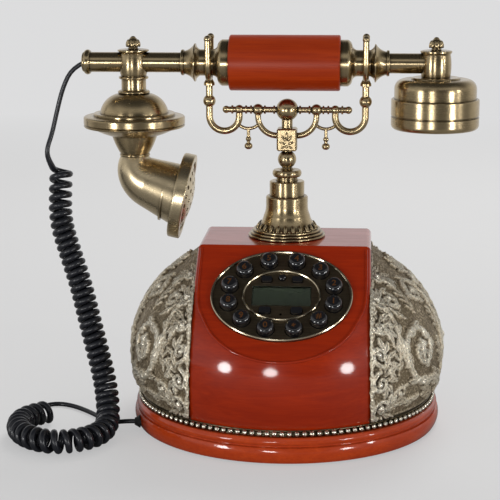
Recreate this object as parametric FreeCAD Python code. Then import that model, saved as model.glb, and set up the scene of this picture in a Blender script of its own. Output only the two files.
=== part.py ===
import FreeCAD, Part
import math
import os

Vec = FreeCAD.Vector

# A cradle telephone in an old French style: round wooden plinth, red body with a sloping keypad,
# two relief side panels, bell column, scrolled cradle and a handset with a horn mouthpiece.
# Millimetres. The origin is on the table under the column, +Z up, +X to the earpiece, +Y to the back.

# Fits
fit_gap = 0.1
seam_gap = 0.2
running_gap = 0.3
fuse_overlap = 0.5
cut_past = 1.0
quarter_bow = 0.29

# Plinth and foot
foot_height = 1.2
foot_inner_radius = 86.0
foot_outer_radius = 93.0
foot_groove_depth = 1.4
plinth_radius = 99.2
plinth_height = 15.8
plinth_hole_radius = 74.0
plinth_lower_band = 9.8
plinth_groove = 1.4
plinth_groove_edge = 0.3
plinth_foot_inset = 2.0
plinth_edge = 0.9
plinth_bulge = 1.3
plinth_upper_bulge = 0.5
plinth_top_inset = 0.6
plinth_top_bow = 0.25
plate_radius = 84.0
plate_thickness = 2.4
screw_circle_radius = 79.0
screw_head_radius = 3.2
screw_head_height = 1.4
screw_shank_radius = 1.5
screw_length = 9.0
screw_slot_half_width = 0.4
screw_count = 4
vent_count = 5
vent_step = 6.0
vent_half_width = 1.0
vent_half_length = 9.0

# Bead ring round the foot of the body
bead_lengths = 12
beads_per_length = 11
bead_radius = 1.75
bead_proud = 0.8
bead_strip_inner = 92.2
bead_strip_width = 2.0
bead_strip_height = 3.9

# Body: a turned dome cut by two sides and a roof with equal slopes
body_height = 104.3
belly_radius = 99.5
belly_rise = 30.0
belly_lower_curve = 60.0
belly_upper_curve = 65.7
slab_line_angle = 34.0
panel_line_angle = 52.0
slab_half_width_foot = 56.2
slab_half_width_top = 54.0
slab_edge_round = 3.5
roof_half_depth = 32.0
roof_back_depth = 30.0
roof_slope = 41.5
roof_back_round = 11.0
body_wall = 3.2
panel_wall = 4.5

# Main forms of the cast relief; turns are degrees round the dome from its side,
# and ups are degrees above the belly
relief_height = 1.8
relief_foot = 8.0
relief_border = 6.5
relief_rib_width = 4.0
rosette_radius = 11.0
rosette_up = 9.2
scroll_radius = 21.0
scroll_width = 5.0
scroll_eye = 7.5
scroll_turn = 29.2
scroll_up = 11.9
upper_scroll_radius = 11.5
upper_scroll_width = 4.0
upper_scroll_eye = 4.2
upper_scroll_turn = 16.6
upper_scroll_up = 41.5
side_boss_radius = 8.5
side_boss_turn = 38.0
side_boss_up = 41.5
low_boss_radius = 6.5
low_boss_turn = 43.0
low_boss_up = -7.0

# Keypad on the front slope, in the slope's own plane: x to the right, y up the slope, z outwards
keypad_from_edge = 39.0
keypad_half_width = 43.4
keypad_half_height = 33.4
keypad_lip = 1.4
keypad_rim_width = 1.7
keypad_rim_height = 2.2
keypad_face_height = 0.9
keypad_depth = 2.5
bezel_half_width = 24.2
bezel_half_height = 18.8
bezel_width = 1.6
bezel_height = 2.5
key_radius = 5.3
key_ring_half_width = 33.0
key_ring_half_height = 25.6
key_height = 5.4
key_round = 1.9
key_round_fullness = 0.82
key_stem_share = 0.6
key_first_turn = 15.0
key_flange = 0.9
key_flange_thickness = 1.8
key_foot = 1.0
key_travel = 1.5
key_names = ("2", "3", "4", "5", "6", "7", "8", "9", "0", "star", "hash", "1")
function_key_height = 1.6
small_key_radius = 2.2
small_key_rise = 13.4
small_key_round = 0.7
bar_key_corner_share = 0.3
side_key_width = 6.4
side_key_height = 3.8
side_key_spread = 9.4
side_key_rise = 11.8
low_key_width = 7.0
low_key_height = 4.4
low_key_spread = 9.6
low_key_drop = 11.3
window_width = 36.0
window_height = 14.4
window_thickness = 1.2
window_recess = 0.3
ring_chamfer_share = 0.3
display_margin = 0.7
display_inset = 0.5
display_thickness = 3.6
microphone_hole_radius = 0.8
microphone_hole_drop = 13.6
mat_thickness = 1.0
mat_dome_height = 0.5
mat_dome_radius = 4.0
board_thickness = 1.6
board_inset = 1.6
post_radius = 1.6
post_inset = 3.9
post_row_shift = 0.9

# Inside the base
main_board_length = 84.0
main_board_width = 46.0
main_board_height = 8.0
main_board_back = 14.0
standoff_radius = 2.5
standoff_inset = 5.0
# Parts on the main board: across, back from its middle, width, depth and height
board_parts = ((-20, 4, 14, 10, 3), (10, -6, 20, 12, 3.5), (26, 12, 9, 9, 12), (-30, -12, 8, 6, 5))
ringer_radius = 16.0
ringer_height = 9.0
ringer_front = 46.0
jack_width = 15.0
jack_length = 18.0
jack_height = 12.5
jack_socket_width = 10.0
jack_socket_height = 7.0
jack_socket_depth = 12.0
jack_face_depth = 4.0
jack_latch_half_width = 3.0
jack_latch_drop = 1.5
switch_width = 20.0
switch_depth = 9.0
switch_height = 10.0
switch_button_radius = 1.8
switch_button_height = 2.0
switch_gap = 0.4
bracket_thickness = 2.0
bracket_width = 14.0
bracket_half_span = 20.0
bracket_foot = 8.0

# Column
bell_foot_radius = 24.3
bell_step = 1.5
bell_step_height = 1.7
bell_step_bow = 0.35
bell_skirt_lip = 0.4
bell_skirt_radius = 19.6
bell_flare = 1.4
bell_flare_share = 0.52
bell_flare_hollow = 0.9
bell_neck_share = 0.22
bell_neck_hollow = 0.3
bell_shoulder = 1.2
bell_shoulder_inset = 1.0
bell_shoulder_bow = 0.25
bell_waist_radius = 13.4
bell_height = 26.2
bell_wall = 2.4
sleeve_radius = 11.1
sleeve_height = 9.5
sleeve_edge = 1.0
sleeve_edge_inset = 0.8
sleeve_edge_bow = 0.3
sleeve_mouth_flare = 1.5
sleeve_tail_radius = 9.2
sleeve_tail_below = 11.0
sleeve_floor_below = 3.0
sleeve_floor = 5.0
nut_flats = 26.0
nut_thickness = 5.0

# Cradle
stem_gap = 2.8
stem_neck_radius = 6.7
stem_neck_depth = 9.5
stem_rod_radius = 3.4
stem_rod_end_drop = 15.0
stem_cap_radius = 9.1
stem_cap_height = 4.3
stem_cap_inset = 0.7
stem_cap_bow = 0.9
stem_cap_shelf = 2.0
stem_throat_hollow = 0.3
stem_ball_radius = 5.9
stem_ball_rise = 6.7
stem_top_rise = 12.5
stem_throat_radius = 3.2
block_half_width = 6.35
block_height = 14.2
block_chamfer = 0.9
block_neck_share = 0.55
crossbar_rise = 11.5
crossbar_radius = 1.9
crossbar_half_length = 38.7
crossbar_ball_radius = 7.1
crossbar_end_radius = 2.4
crossbar_ring_radius = 2.7
crossbar_ring_width = 1.1
crossbar_ring_offset = 4.4
hook_rod_radius = 2.2
hook_radius = 9.5
hook_leg = 4.2
hook_bead_radius = 3.0
arm_reach = 18.5
arm_leg = 4.3
arm_rod_radius = 1.9
arm_bead_radius = 3.7
link_rod_radius = 1.1
link_drop = 8.8
link_sag = 3.3
pendant_length = 13.2
pendant_ball_radius = 2.2
pendant_bead_radius = 1.8
pendant_neck_share = 0.6
pendant_ball_fullness = 0.93
fork_spread = 49.4
fork_foot_rise = 1.7
fork_ball_rise = 5.4
fork_ball_radius = 4.0
fork_prong_radius = 1.95
fork_prong_rise = 15.4
fork_tip_radius = 2.3
fork_collar_radius = 3.5
fork_collar_height = 2.2
fork_collar_edge = 0.4
spring_wire_radius = 0.6
spring_radius = 5.3
spring_turns = 7
spring_seat_gap = 0.3

# Handset, lying along X in the forks
handset_rise = 29.6
handset_shift = -1.5
tube_radius = 6.3
tube_wall = 1.4
grip_half_length = 34.9
grip_radius = 17.5
grip_end_round = 1.2
ferrule_collar_radius = 14.6
ferrule_collar_length = 4.6
ferrule_shoulder_radius = 11.2
ferrule_shoulder_end = 7.4
ferrule_shoulder_bow = 0.6
ferrule_neck_radius = 8.3
ferrule_neck_centre = 14.5
ferrule_neck_length = 8.6
ferrule_cup_radius = 12.0
ferrule_cup_rise = 2.7
ferrule_cup_edge = 0.7
ferrule_cup_hollow = 0.6
ferrule_taper_hollow = 0.9
ferrule_tip_radius = 7.3
ferrule_ring_width = 1.8
ferrule_ring_proud = 0.6
ferrule_ring_bow = 0.3
ferrule_length = 30.6
end_reach = 128.6
end_cap_radius = 7.9
end_cap_length = 5.1
end_cap_plug = 6.0
end_cap_bead = 0.8
end_cap_tip = 1.2
end_cap_tip_bow = 0.4
cord_hole_radius = 3.0
cord_hole_depth = 2.4
mouth_reach = 96.1
ear_reach = 94.5
tee_barrel_radius = 8.65
tee_barrel_above = 5.4
tee_barrel_below = 8.6
tee_barrel_swell = 0.6
tee_collar_radius = 9.9
tee_collar_height = 2.7
tee_collar_flare = 1.6
tee_edge = 0.3
tee_collar_inset = 0.9
tee_drill = 20.0
tee_bore_radius = 3.5
finial_radius = 4.95
finial_height = 8.4
finial_foot_radius = 3.2
finial_bow = 0.4
tee_neck_radius = 7.85
tee_neck_length = 11.1
tee_ring_radius = 10.2
tee_ring_height = 1.8
tee_ring_bead = 0.6
tee_upper_ring_proud = 0.4
tee_upper_ring_bow = 0.35
dome_radius = 21.8
dome_height = 12.3
dome_wall = 2.0
dome_seat_inset = 0.9
dome_bow_share = 0.17
dome_inner_bow_share = 0.15
flange_radius = 32.3
flange_height = 7.1
flange_step_radius = 26.0
flange_step_height = 2.0
flange_rim_round = 1.2
flange_groove = 0.6
flange_rim_bow = 0.3
flange_step_foot = 0.3
flange_step_edge = 0.6
flange_step_inset = 0.8
flange_step_bow = 0.2
bowl_mouth_radius = 28.0
bowl_neck_radius = 15.2
bowl_height = 5.4
bowl_bow = 0.4
bowl_floor_width = 3.0
bowl_inner_edge = 0.4
bowl_inner_hollow = 0.3
cone_end_radius = 9.2
cone_height = 13.2
cone_lip = 1.6
cone_lip_bow = 0.5
cone_bow = 0.4
cone_top_inset = 0.8
cone_top_edge = 0.2
shell_wall = 1.8
horn_pivot_gap = 1.5
horn_turn = 78.0
horn_bend_radius = 16.0
horn_flare = 20.5
horn_mouth_radius = 19.6
horn_ring_back = 8.0
horn_ring_width = 1.2
horn_ring_proud = 0.4
horn_sections = 5
mouth_cap_radius = 27.5
mouth_cap_depth = 7.6
mouth_cap_edge = 0.8
mouth_cap_edge_bow = 0.25
mouth_cap_back_inset = 0.7
mouth_cap_back_bow = 0.2
grille_sink = 1.6
grille_bevel = 0.6
grille_drill = 3.0
grille_radius = 22.5
grille_dome = 3.4
grille_wall = 1.6
grille_hole_radius = 1.3
grille_rings = ((0.0, 1), (6.2, 6), (12.0, 12), (17.6, 18))
capsule_radius = 13.0
capsule_depth = 6.0
capsule_taper = 2.0
ear_tee_below = 8.6
ear_tee_foot_radius = 9.0
ear_tee_swell = 0.6
ear_collar_hollow = 0.1
ear_seat_radius = 15.5
ear_seat_rise = 1.0
ear_seat_inset = 0.6
ear_seat_bow = 0.2
ear_dome_radius = 25.8
ear_dome_height = 13.3
ear_dome_round = 6.0
ear_dome_inner_bow = 0.25
ear_cap_radius = 27.65
ear_cap_height = 19.2
ear_cap_round = 3.2
ear_cap_groove_rise = 7.8
ear_cap_groove = 0.7
ear_cap_groove_edge = 0.3
ear_cap_groove_width = 1.2
ear_cap_edge = 0.8
ear_cap_edge_bow = 0.2
ear_cap_thread = 1.0
ear_cap_thread_top = 2.0
ear_dish_edge = 2.0
ear_dish_bow = 0.5
ear_dish = 2.4
ear_hole_radius = 1.2
ear_rings = ((0.0, 1), (7.0, 6))
receiver_radius = 22.0
receiver_height = 9.0

# Handset cord, lying and hanging as one length: straight lead, curls, straight tail
cord_diameter = 3.0
curl_wire = 3.8
curl_radius = 5.7
curl_pitch_top = 7.4
curl_pitch_hanging = 4.8
curl_pitch_lying = 6.2
curl_stretched_length = 38.0
curl_hanging_length = 155.0
curl_steps = 3000
grommet_radius = 2.9
grommet_flange_radius = 4.0
grommet_flange_length = 3.0
grommet_recess = 0.5
grommet_length = 16.0
grommet_lip = 0.8
grommet_flange_edge = 0.6
grommet_side = -37.0
grommet_height = 6.2
lead_points = (
    Vec(-136.8, 0.0, 228.2), Vec(-143.2, 0.0, 216.0), Vec(-147.6, 0.0, 200.0), Vec(-150.8, -1.0, 186.0),
    Vec(-154.8, -4.2, 174.2),
)
curl_points = (
    Vec(-145.6, 0.0, 163.5), Vec(-145.8, -5.0, 147.0), Vec(-145.0, -9.5, 130.0), Vec(-139.0, -13.0, 112.0),
    Vec(-131.5, -18.0, 92.0), Vec(-125.5, -24.0, 71.0), Vec(-119.5, -30.0, 51.0), Vec(-114.0, -35.0, 32.0),
    Vec(-110.5, -45.0, 15.5), Vec(-109.5, -59.0, 8.2), Vec(-114.5, -74.0, 7.8), Vec(-125.0, -84.0, 7.8),
    Vec(-138.0, -87.5, 7.8), Vec(-151.5, -82.0, 7.8), Vec(-163.0, -69.0, 7.8), Vec(-167.5, -52.0, 7.8),
    Vec(-164.0, -37.0, 7.8), Vec(-153.5, -27.5, 7.8),
)
tail_points = (
    Vec(-166.0, -6.5, 1.7), Vec(-163.5, 5.5, 1.7), Vec(-154.0, 11.5, 1.7), Vec(-142.5, 6.5, 1.7),
    Vec(-131.0, -4.5, 1.7), Vec(-121.5, -16.0, 1.7), Vec(-114.5, -27.0, 2.4), Vec(-108.0, -35.4, 4.7),
)

# Heights and places that follow from the sizes above
plinth_top = foot_height + plinth_height
body_top = plinth_top + body_height
belly_height = plinth_top + belly_rise
bell_top = body_top + bell_height
sleeve_top = bell_top + sleeve_height
cap_bottom = sleeve_top + stem_gap
cap_top = cap_bottom + stem_cap_height
block_bottom = cap_top + stem_top_rise
block_top = block_bottom + block_height
crossbar_height = block_top + crossbar_rise
handset_height = crossbar_height + handset_rise
neck_bottom = cap_bottom - stem_neck_depth
rod_bottom = body_top - stem_rod_end_drop
floor_top = body_top - sleeve_floor_below + sleeve_floor
tee_bottom = handset_height - tee_barrel_below
tee_top = handset_height + tee_barrel_above + tee_collar_height
neck_foot = tee_bottom - tee_neck_length
dome_foot = neck_foot - dome_height
flange_top = dome_foot - flange_step_height
flange_bottom = flange_top - flange_height
bowl_bottom = flange_bottom - bowl_height
cone_bottom = bowl_bottom - cone_height
ear_seat_height = handset_height - ear_tee_below
ear_rim_height = ear_seat_height - ear_dome_height
mouth_x = handset_shift - mouth_reach
ear_x = handset_shift + ear_reach
end_x = handset_shift - end_reach
grommet_face = -math.sqrt(plinth_radius ** 2 - grommet_side ** 2)
slope = math.radians(roof_slope)
keypad_place = FreeCAD.Placement(
    Vec(
        0, -roof_half_depth - keypad_from_edge * math.cos(slope),
        body_top - keypad_from_edge * math.sin(slope),
    ),
    FreeCAD.Rotation(Vec(1, 0, 0), roof_slope),
)
key_gap_hole = key_radius + running_gap
flange_high = -keypad_depth - fit_gap
flange_low = flange_high - key_flange_thickness
key_low = flange_low - key_foot
dome_high = key_low - key_travel - running_gap
mat_top = dome_high - mat_dome_height
board_top = mat_top - mat_thickness
board_low = board_top - board_thickness

nodes = {}


def turned(outline, at=Vec(0, 0, 0), along=Vec(0, 0, 1)):
    # A closed outline of (radius, height) points turned about an axis. A third number makes the stretch
    # that ends there an arc, by the height of its bow to the right of the way the outline runs.
    edges = []
    for i, end in enumerate(outline):
        start = outline[i - 1]
        first = Vec(start[0], 0, start[1])
        last = Vec(end[0], 0, end[1])
        chord = last - first
        if chord.Length < 1e-6:
            continue
        if len(end) > 2:
            outward = Vec(chord.z, 0, -chord.x).normalize()
            middle = (first + last) * 0.5 + outward * end[2]
            edges.append(Part.Arc(first, middle, last).toShape())
        else:
            edges.append(Part.LineSegment(first, last).toShape())
    solid = Part.Face(Part.Wire(edges)).revolve(Vec(0, 0, 0), Vec(0, 0, 1), 360)
    if solid.Volume < 0:
        solid.reverse()
    solid.Placement = FreeCAD.Placement(at, FreeCAD.Rotation(Vec(0, 0, 1), along))
    return solid


def rod(radius, start, end):
    return Part.makeCylinder(radius, (end - start).Length, start, end - start)


def ball(radius, centre):
    return Part.makeSphere(radius, centre)


def block(low, high):
    return Part.makeBox(high.x - low.x, high.y - low.y, high.z - low.z, low)


def fused(shapes):
    return shapes[0].multiFuse(shapes[1:]).removeSplitter()


def swept(edges, radius):
    path = Part.Wire(edges)
    start = edges[0].firstVertex(True).Point
    heading = edges[0].tangentAt(edges[0].FirstParameter)
    section = Part.Wire([Part.Circle(start, heading, radius).toShape()])
    return path.makePipeShell([section], True, False)


def mirrored(shape):
    return shape.mirror(Vec(0, 0, 0), Vec(1, 0, 0))


def line(start, end):
    return Part.LineSegment(start, end).toShape()


def arc(start, middle, end):
    return Part.Arc(start, middle, end).toShape()


def prism(points, depth):
    face = Part.Face(Part.makePolygon(list(points) + [points[0]]))
    return face.extrude(depth)


def hole_ring(rings, radius, depth, at, along):
    # Straight drills for holes on several circles round one axis.
    drills = []
    for ring_radius, count in rings:
        for i in range(count):
            turn = 2 * math.pi * i / count
            place = Vec(ring_radius * math.cos(turn), ring_radius * math.sin(turn), 0)
            drills.append(Part.makeCylinder(radius, depth, place))
    group = Part.Compound(drills)
    group.Placement = FreeCAD.Placement(at, FreeCAD.Rotation(Vec(0, 0, 1), along))
    return group


# Dome of the body and of the side panels

def dome(line_angle, inset):
    # Foot arc, belly, shoulder arc, then a straight cone above the given angle.
    belly = belly_radius - inset
    lower = belly_lower_curve - inset
    upper = belly_upper_curve - inset
    foot_radius = belly - lower + math.sqrt(lower ** 2 - belly_rise ** 2)
    foot_chord = math.hypot(belly - foot_radius, belly_rise)
    foot_bow = lower - math.sqrt(lower ** 2 - foot_chord ** 2 / 4)
    angle = math.radians(line_angle)
    shoulder_radius = belly - upper + upper * math.cos(angle)
    shoulder_height = belly_height + upper * math.sin(angle)
    shoulder_bow = upper * (1 - math.cos(angle / 2))
    apex = shoulder_height + shoulder_radius / math.tan(angle)
    return turned((
        (0, plinth_top), (foot_radius, plinth_top), (belly, belly_height, foot_bow),
        (shoulder_radius, shoulder_height, shoulder_bow), (0, apex),
    ))


def side_half_width(height):
    share = (height - plinth_top) / body_height
    return slab_half_width_foot + (slab_half_width_top - slab_half_width_foot) * share


def slab_wedge(inset, high):
    # Everything between the two sloping sides of the body.
    low_half = side_half_width(plinth_top) - inset
    high_half = side_half_width(high) - inset
    reach = 2 * belly_radius
    outline = (
        Vec(-low_half, -reach, plinth_top), Vec(low_half, -reach, plinth_top),
        Vec(high_half, -reach, high), Vec(-high_half, -reach, high),
    )
    return prism(outline, Vec(0, 2 * reach, 0))


def roof(inset):
    # Everything under the flat top, the keypad slope and the equal slope behind, rounded at the back.
    top = body_top - inset
    half = roof_half_depth - inset * math.tan(slope / 2)
    back_half = roof_back_depth - inset * math.tan(slope / 2)
    reach = 2 * belly_radius
    front_low = top - (reach - half) * math.tan(slope)
    back_low = top - (reach - back_half) * math.tan(slope)
    tangent = (roof_back_round - inset) * math.tan(slope / 2)
    back_start = Vec(0, back_half - tangent, top)
    back_end = Vec(0, back_half + tangent * math.cos(slope), top - tangent * math.sin(slope))
    bow = (roof_back_round - inset) * (1 / math.cos(slope / 2) - 1)
    corner = Vec(0, back_half, top)
    middle = corner - Vec(0, math.sin(slope / 2), math.cos(slope / 2)) * bow
    edges = [
        line(Vec(0, -half, top), back_start),
        arc(back_start, middle, back_end),
        line(back_end, Vec(0, reach, back_low)),
        line(Vec(0, reach, back_low), Vec(0, -reach, front_low)),
        line(Vec(0, -reach, front_low), Vec(0, -half, top)),
    ]
    solid = Part.Face(Part.Wire(edges)).extrude(Vec(2 * reach, 0, 0))
    solid.translate(Vec(-reach, 0, 0))
    return solid


def oval(half_width, half_height, low, high):
    edge = Part.Ellipse(Vec(0, 0, low), half_width, half_height).toShape()
    return Part.Face(Part.Wire([edge])).extrude(Vec(0, 0, high - low))


def oval_wire(half_width, half_height, height):
    return Part.Wire([Part.Ellipse(Vec(0, 0, height), half_width, half_height).toShape()])


def raised_ring(half_width, half_height, width, height):
    # An oval ring standing on the keypad's face, with a broad chamfer on both sides of its top.
    chamfer = ring_chamfer_share * width
    shoulder = height - chamfer
    outer = oval(half_width, half_height, keypad_face_height, shoulder)
    crown = Part.makeLoft([
        oval_wire(half_width, half_height, shoulder),
        oval_wire(half_width - chamfer, half_height - chamfer, height),
    ], True, True)
    inner_width = half_width - width
    inner_height = half_height - width
    hollow = oval(inner_width, inner_height, keypad_face_height, shoulder)
    mouth = Part.makeLoft([
        oval_wire(inner_width, inner_height, shoulder),
        oval_wire(inner_width + chamfer, inner_height + chamfer, height),
    ], True, True)
    return outer.cut(hollow).fuse(crown.cut(mouth))


def on_slope(shape):
    shape.Placement = keypad_place.multiply(shape.Placement)
    return shape


def make_body():
    outer = dome(slab_line_angle, 0).common(slab_wedge(0, body_top)).common(roof(0))
    side_edges = []
    for edge in outer.Edges:
        middle = edge.valueAt((edge.FirstParameter + edge.LastParameter) / 2)
        on_side = abs(abs(middle.x) - side_half_width(middle.z)) < 0.01
        if on_side and middle.z > plinth_top + 0.01:
            side_edges.append(edge)
    outer = outer.makeFillet(slab_edge_round, side_edges)
    inner = dome(slab_line_angle, body_wall)
    inner = inner.common(slab_wedge(body_wall, body_top)).common(roof(body_wall))
    hole_low = Vec(0, 0, body_top - 2 * body_wall)
    column_hole = Part.makeCylinder(sleeve_tail_radius + seam_gap, 3 * body_wall, hole_low)
    plug_width = keypad_half_width - keypad_lip + seam_gap
    plug_height = keypad_half_height - keypad_lip + seam_gap
    keypad_hole = on_slope(oval(plug_width, plug_height, -3 * body_wall, body_wall))
    nodes["body_shell"] = outer.cut(inner).cut(column_hole).cut(keypad_hole)


def relief_ring(turn, up, outer, inner):
    # Tube square to the dome at one place; it marks out a scroll or, with no inner radius, a boss.
    around = math.radians(turn)
    lift = math.radians(up)
    radius = belly_radius - belly_upper_curve * (1 - math.cos(lift))
    height = belly_height + belly_upper_curve * math.sin(lift)
    place = Vec(radius * math.cos(around), radius * math.sin(around), height)
    out = Vec(math.cos(around) * math.cos(lift), math.sin(around) * math.cos(lift), math.sin(lift))
    start = place - out * (2 * panel_wall)
    tool = Part.makeCylinder(outer, 3 * panel_wall, start, out)
    if inner > 0:
        tool = tool.cut(Part.makeCylinder(inner, 3 * panel_wall, start, out))
    return tool


def relief_tools(side):
    # What stands proud on one panel: rosette and rib in the middle, scrolls and bosses either way of them.
    tools = [relief_ring(90 - 90 * side, rosette_up, rosette_radius, 0)]
    for hand in (-1, 1):
        for turn, up, radius, width, eye in (
            (scroll_turn, scroll_up, scroll_radius, scroll_width, scroll_eye),
            (upper_scroll_turn, upper_scroll_up, upper_scroll_radius, upper_scroll_width, upper_scroll_eye),
        ):
            place = 90 - 90 * side + hand * turn
            tools.append(relief_ring(place, up, radius + width / 2, radius - width / 2))
            tools.append(relief_ring(place, up, eye, 0))
        tools.append(relief_ring(90 - 90 * side + hand * side_boss_turn, side_boss_up, side_boss_radius, 0))
        tools.append(relief_ring(90 - 90 * side + hand * low_boss_turn, low_boss_up, low_boss_radius, 0))
    half = relief_rib_width / 2
    rib = block(Vec(0, -half, plinth_top), Vec(2 * belly_radius, half, body_top))
    tools.append(rib if side > 0 else mirrored(rib))
    return tools


def make_panels():
    shell = dome(panel_line_angle, 0).cut(dome(panel_line_angle, panel_wall))
    apex_height = body_top + roof_half_depth
    slab = slab_wedge(-seam_gap, apex_height)
    reach = 2 * belly_radius
    zone = block(Vec(-reach, -reach, plinth_top + relief_foot), Vec(reach, reach, body_top)).cut(slab)
    layer = dome(panel_line_angle, -relief_height).cut(dome(panel_line_angle, panel_wall / 2)).common(zone)
    border = layer.common(slab_wedge(-seam_gap - relief_border, apex_height))
    halves = sorted(shell.cut(slab).Solids, key=lambda solid: solid.CenterOfMass.x)
    for name, side, panel in (("relief_panel_left", -1, halves[0]), ("relief_panel_right", 1, halves[-1])):
        raised = [solid for solid in border.Solids if solid.CenterOfMass.x * side > 0]
        for tool in relief_tools(side):
            raised.append(layer.common(tool))
        nodes[name] = panel.multiFuse(raised).removeSplitter()


# Plinth, foot and what closes the base

def make_plinth():
    band_top = foot_height + plinth_lower_band
    groove_radius = plinth_radius - 1.5 * plinth_groove - plinth_upper_bulge
    upper_top = plinth_top - plinth_edge
    ring = turned((
        (plinth_hole_radius, foot_height), (plinth_radius - plinth_foot_inset, foot_height),
        (plinth_radius - plinth_edge, band_top, plinth_bulge),
        (groove_radius, band_top + plinth_groove_edge), (groove_radius, band_top + plinth_groove),
        (groove_radius + plinth_edge, band_top + plinth_groove + plinth_groove_edge),
        (groove_radius + plinth_upper_bulge, upper_top, plinth_upper_bulge),
        (groove_radius - plinth_top_inset, plinth_top, plinth_top_bow),
        (plinth_hole_radius, plinth_top),
    ))
    rebate = Part.makeCylinder(plate_radius, plate_thickness, Vec(0, 0, foot_height))
    groove = Part.makeCylinder(foot_outer_radius, foot_groove_depth, Vec(0, 0, foot_height))
    groove = groove.cut(Part.makeCylinder(foot_inner_radius, foot_groove_depth, Vec(0, 0, foot_height)))
    grommet_start = Vec(-2 * plinth_radius, grommet_side, grommet_height)
    grommet_hole = rod(grommet_radius + seam_gap, grommet_start, Vec(0, grommet_side, grommet_height))
    recess_end = Vec(grommet_face + grommet_recess + fit_gap, grommet_side, grommet_height)
    grommet_hole = grommet_hole.fuse(rod(grommet_flange_radius + seam_gap, grommet_start, recess_end))
    half = jack_width / 2 + seam_gap
    jack_low = foot_height + plate_thickness + fit_gap
    jack_slot = block(
        Vec(-half, plinth_hole_radius / 2, foot_height + plate_thickness),
        Vec(half, plinth_radius + cut_past, jack_low + jack_height + seam_gap),
    )
    ring = ring.cut(rebate).cut(groove).cut(grommet_hole).cut(jack_slot)
    for i in range(screw_count):
        turn = 2 * math.pi * (i + 0.5) / screw_count
        foot = Vec(screw_circle_radius * math.cos(turn), screw_circle_radius * math.sin(turn), foot_height)
        ring = ring.cut(Part.makeCylinder(screw_shank_radius + fit_gap, screw_length + cut_past, foot))
    nodes["plinth"] = ring

    foot_top = foot_height + foot_groove_depth - fit_gap
    nodes["foot_ring"] = turned((
        (foot_inner_radius + seam_gap, 0), (foot_outer_radius - seam_gap, 0),
        (foot_outer_radius - seam_gap, foot_top), (foot_inner_radius + seam_gap, foot_top),
    ))


def make_base_plate():
    low = foot_height
    plate = Part.makeCylinder(plate_radius - seam_gap, plate_thickness - fit_gap, Vec(0, 0, low))
    screws = []
    for i in range(screw_count):
        turn = 2 * math.pi * (i + 0.5) / screw_count
        x = screw_circle_radius * math.cos(turn)
        y = screw_circle_radius * math.sin(turn)
        head = Part.makeCylinder(screw_head_radius, screw_head_height, Vec(x, y, low))
        shank = Part.makeCylinder(screw_shank_radius, screw_length, Vec(x, y, low))
        drive = block(
            Vec(x - screw_head_radius, y - screw_slot_half_width, low),
            Vec(x + screw_head_radius, y + screw_slot_half_width, low + screw_head_height / 2),
        )
        screws.append(head.fuse(shank).cut(drive))
        recess = Part.makeCylinder(screw_head_radius + seam_gap, screw_head_height, Vec(x, y, low))
        bore = Part.makeCylinder(screw_shank_radius + fit_gap, plate_thickness, Vec(x, y, low))
        plate = plate.cut(recess).cut(bore)
    plate_top = low + plate_thickness - fit_gap
    standoffs = [plate]
    for x in (-1, 1):
        for y in (-1, 1):
            foot = Vec(
                x * (main_board_length / 2 - standoff_inset),
                main_board_back + y * (main_board_width / 2 - standoff_inset), plate_top - fuse_overlap,
            )
            standoffs.append(Part.makeCylinder(standoff_radius, main_board_height + fuse_overlap, foot))
    vents = []
    for i in range(vent_count):
        x = (i - (vent_count - 1) / 2) * vent_step
        vents.append(block(
            Vec(x - vent_half_width, -ringer_front - vent_half_length, low - cut_past),
            Vec(x + vent_half_width, -ringer_front + vent_half_length, plate_top + cut_past),
        ))
    nodes["base_plate"] = fused(standoffs).cut(Part.Compound(vents))
    nodes["base_screws"] = Part.Compound(screws)

    board_low_z = plate_top + main_board_height
    board = block(
        Vec(-main_board_length / 2, main_board_back - main_board_width / 2, board_low_z),
        Vec(main_board_length / 2, main_board_back + main_board_width / 2, board_low_z + board_thickness),
    )
    chips = [board]
    for x, y, wide, deep, high in board_parts:
        chips.append(block(
            Vec(x - wide / 2, main_board_back + y - deep / 2, board_low_z + board_thickness / 2),
            Vec(x + wide / 2, main_board_back + y + deep / 2, board_low_z + board_thickness + high),
        ))
    nodes["main_board"] = fused(chips)

    nodes["ringer"] = turned((
        (0, plate_top), (ringer_radius, plate_top), (ringer_radius, plate_top + 0.5 * ringer_height),
        (0.6 * ringer_radius, plate_top + 0.75 * ringer_height),
        (0.6 * ringer_radius, plate_top + ringer_height), (0, plate_top + ringer_height),
    ), Vec(0, -ringer_front, 0))


def make_line_jack():
    low = foot_height + plate_thickness
    face = plinth_radius - jack_face_depth
    body = block(Vec(-jack_width / 2, face - jack_length, low), Vec(jack_width / 2, face, low + jack_height))
    middle = low + jack_height / 2
    socket = block(
        Vec(-jack_socket_width / 2, face - jack_socket_depth, middle - jack_socket_height / 2),
        Vec(jack_socket_width / 2, face + cut_past, middle + jack_socket_height / 2),
    )
    latch_low = middle - jack_socket_height / 2 - jack_latch_drop
    latch = block(
        Vec(-jack_latch_half_width, face - jack_socket_depth, latch_low),
        Vec(jack_latch_half_width, face + cut_past, middle),
    )
    nodes["line_jack"] = body.cut(socket).cut(latch)


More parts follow.
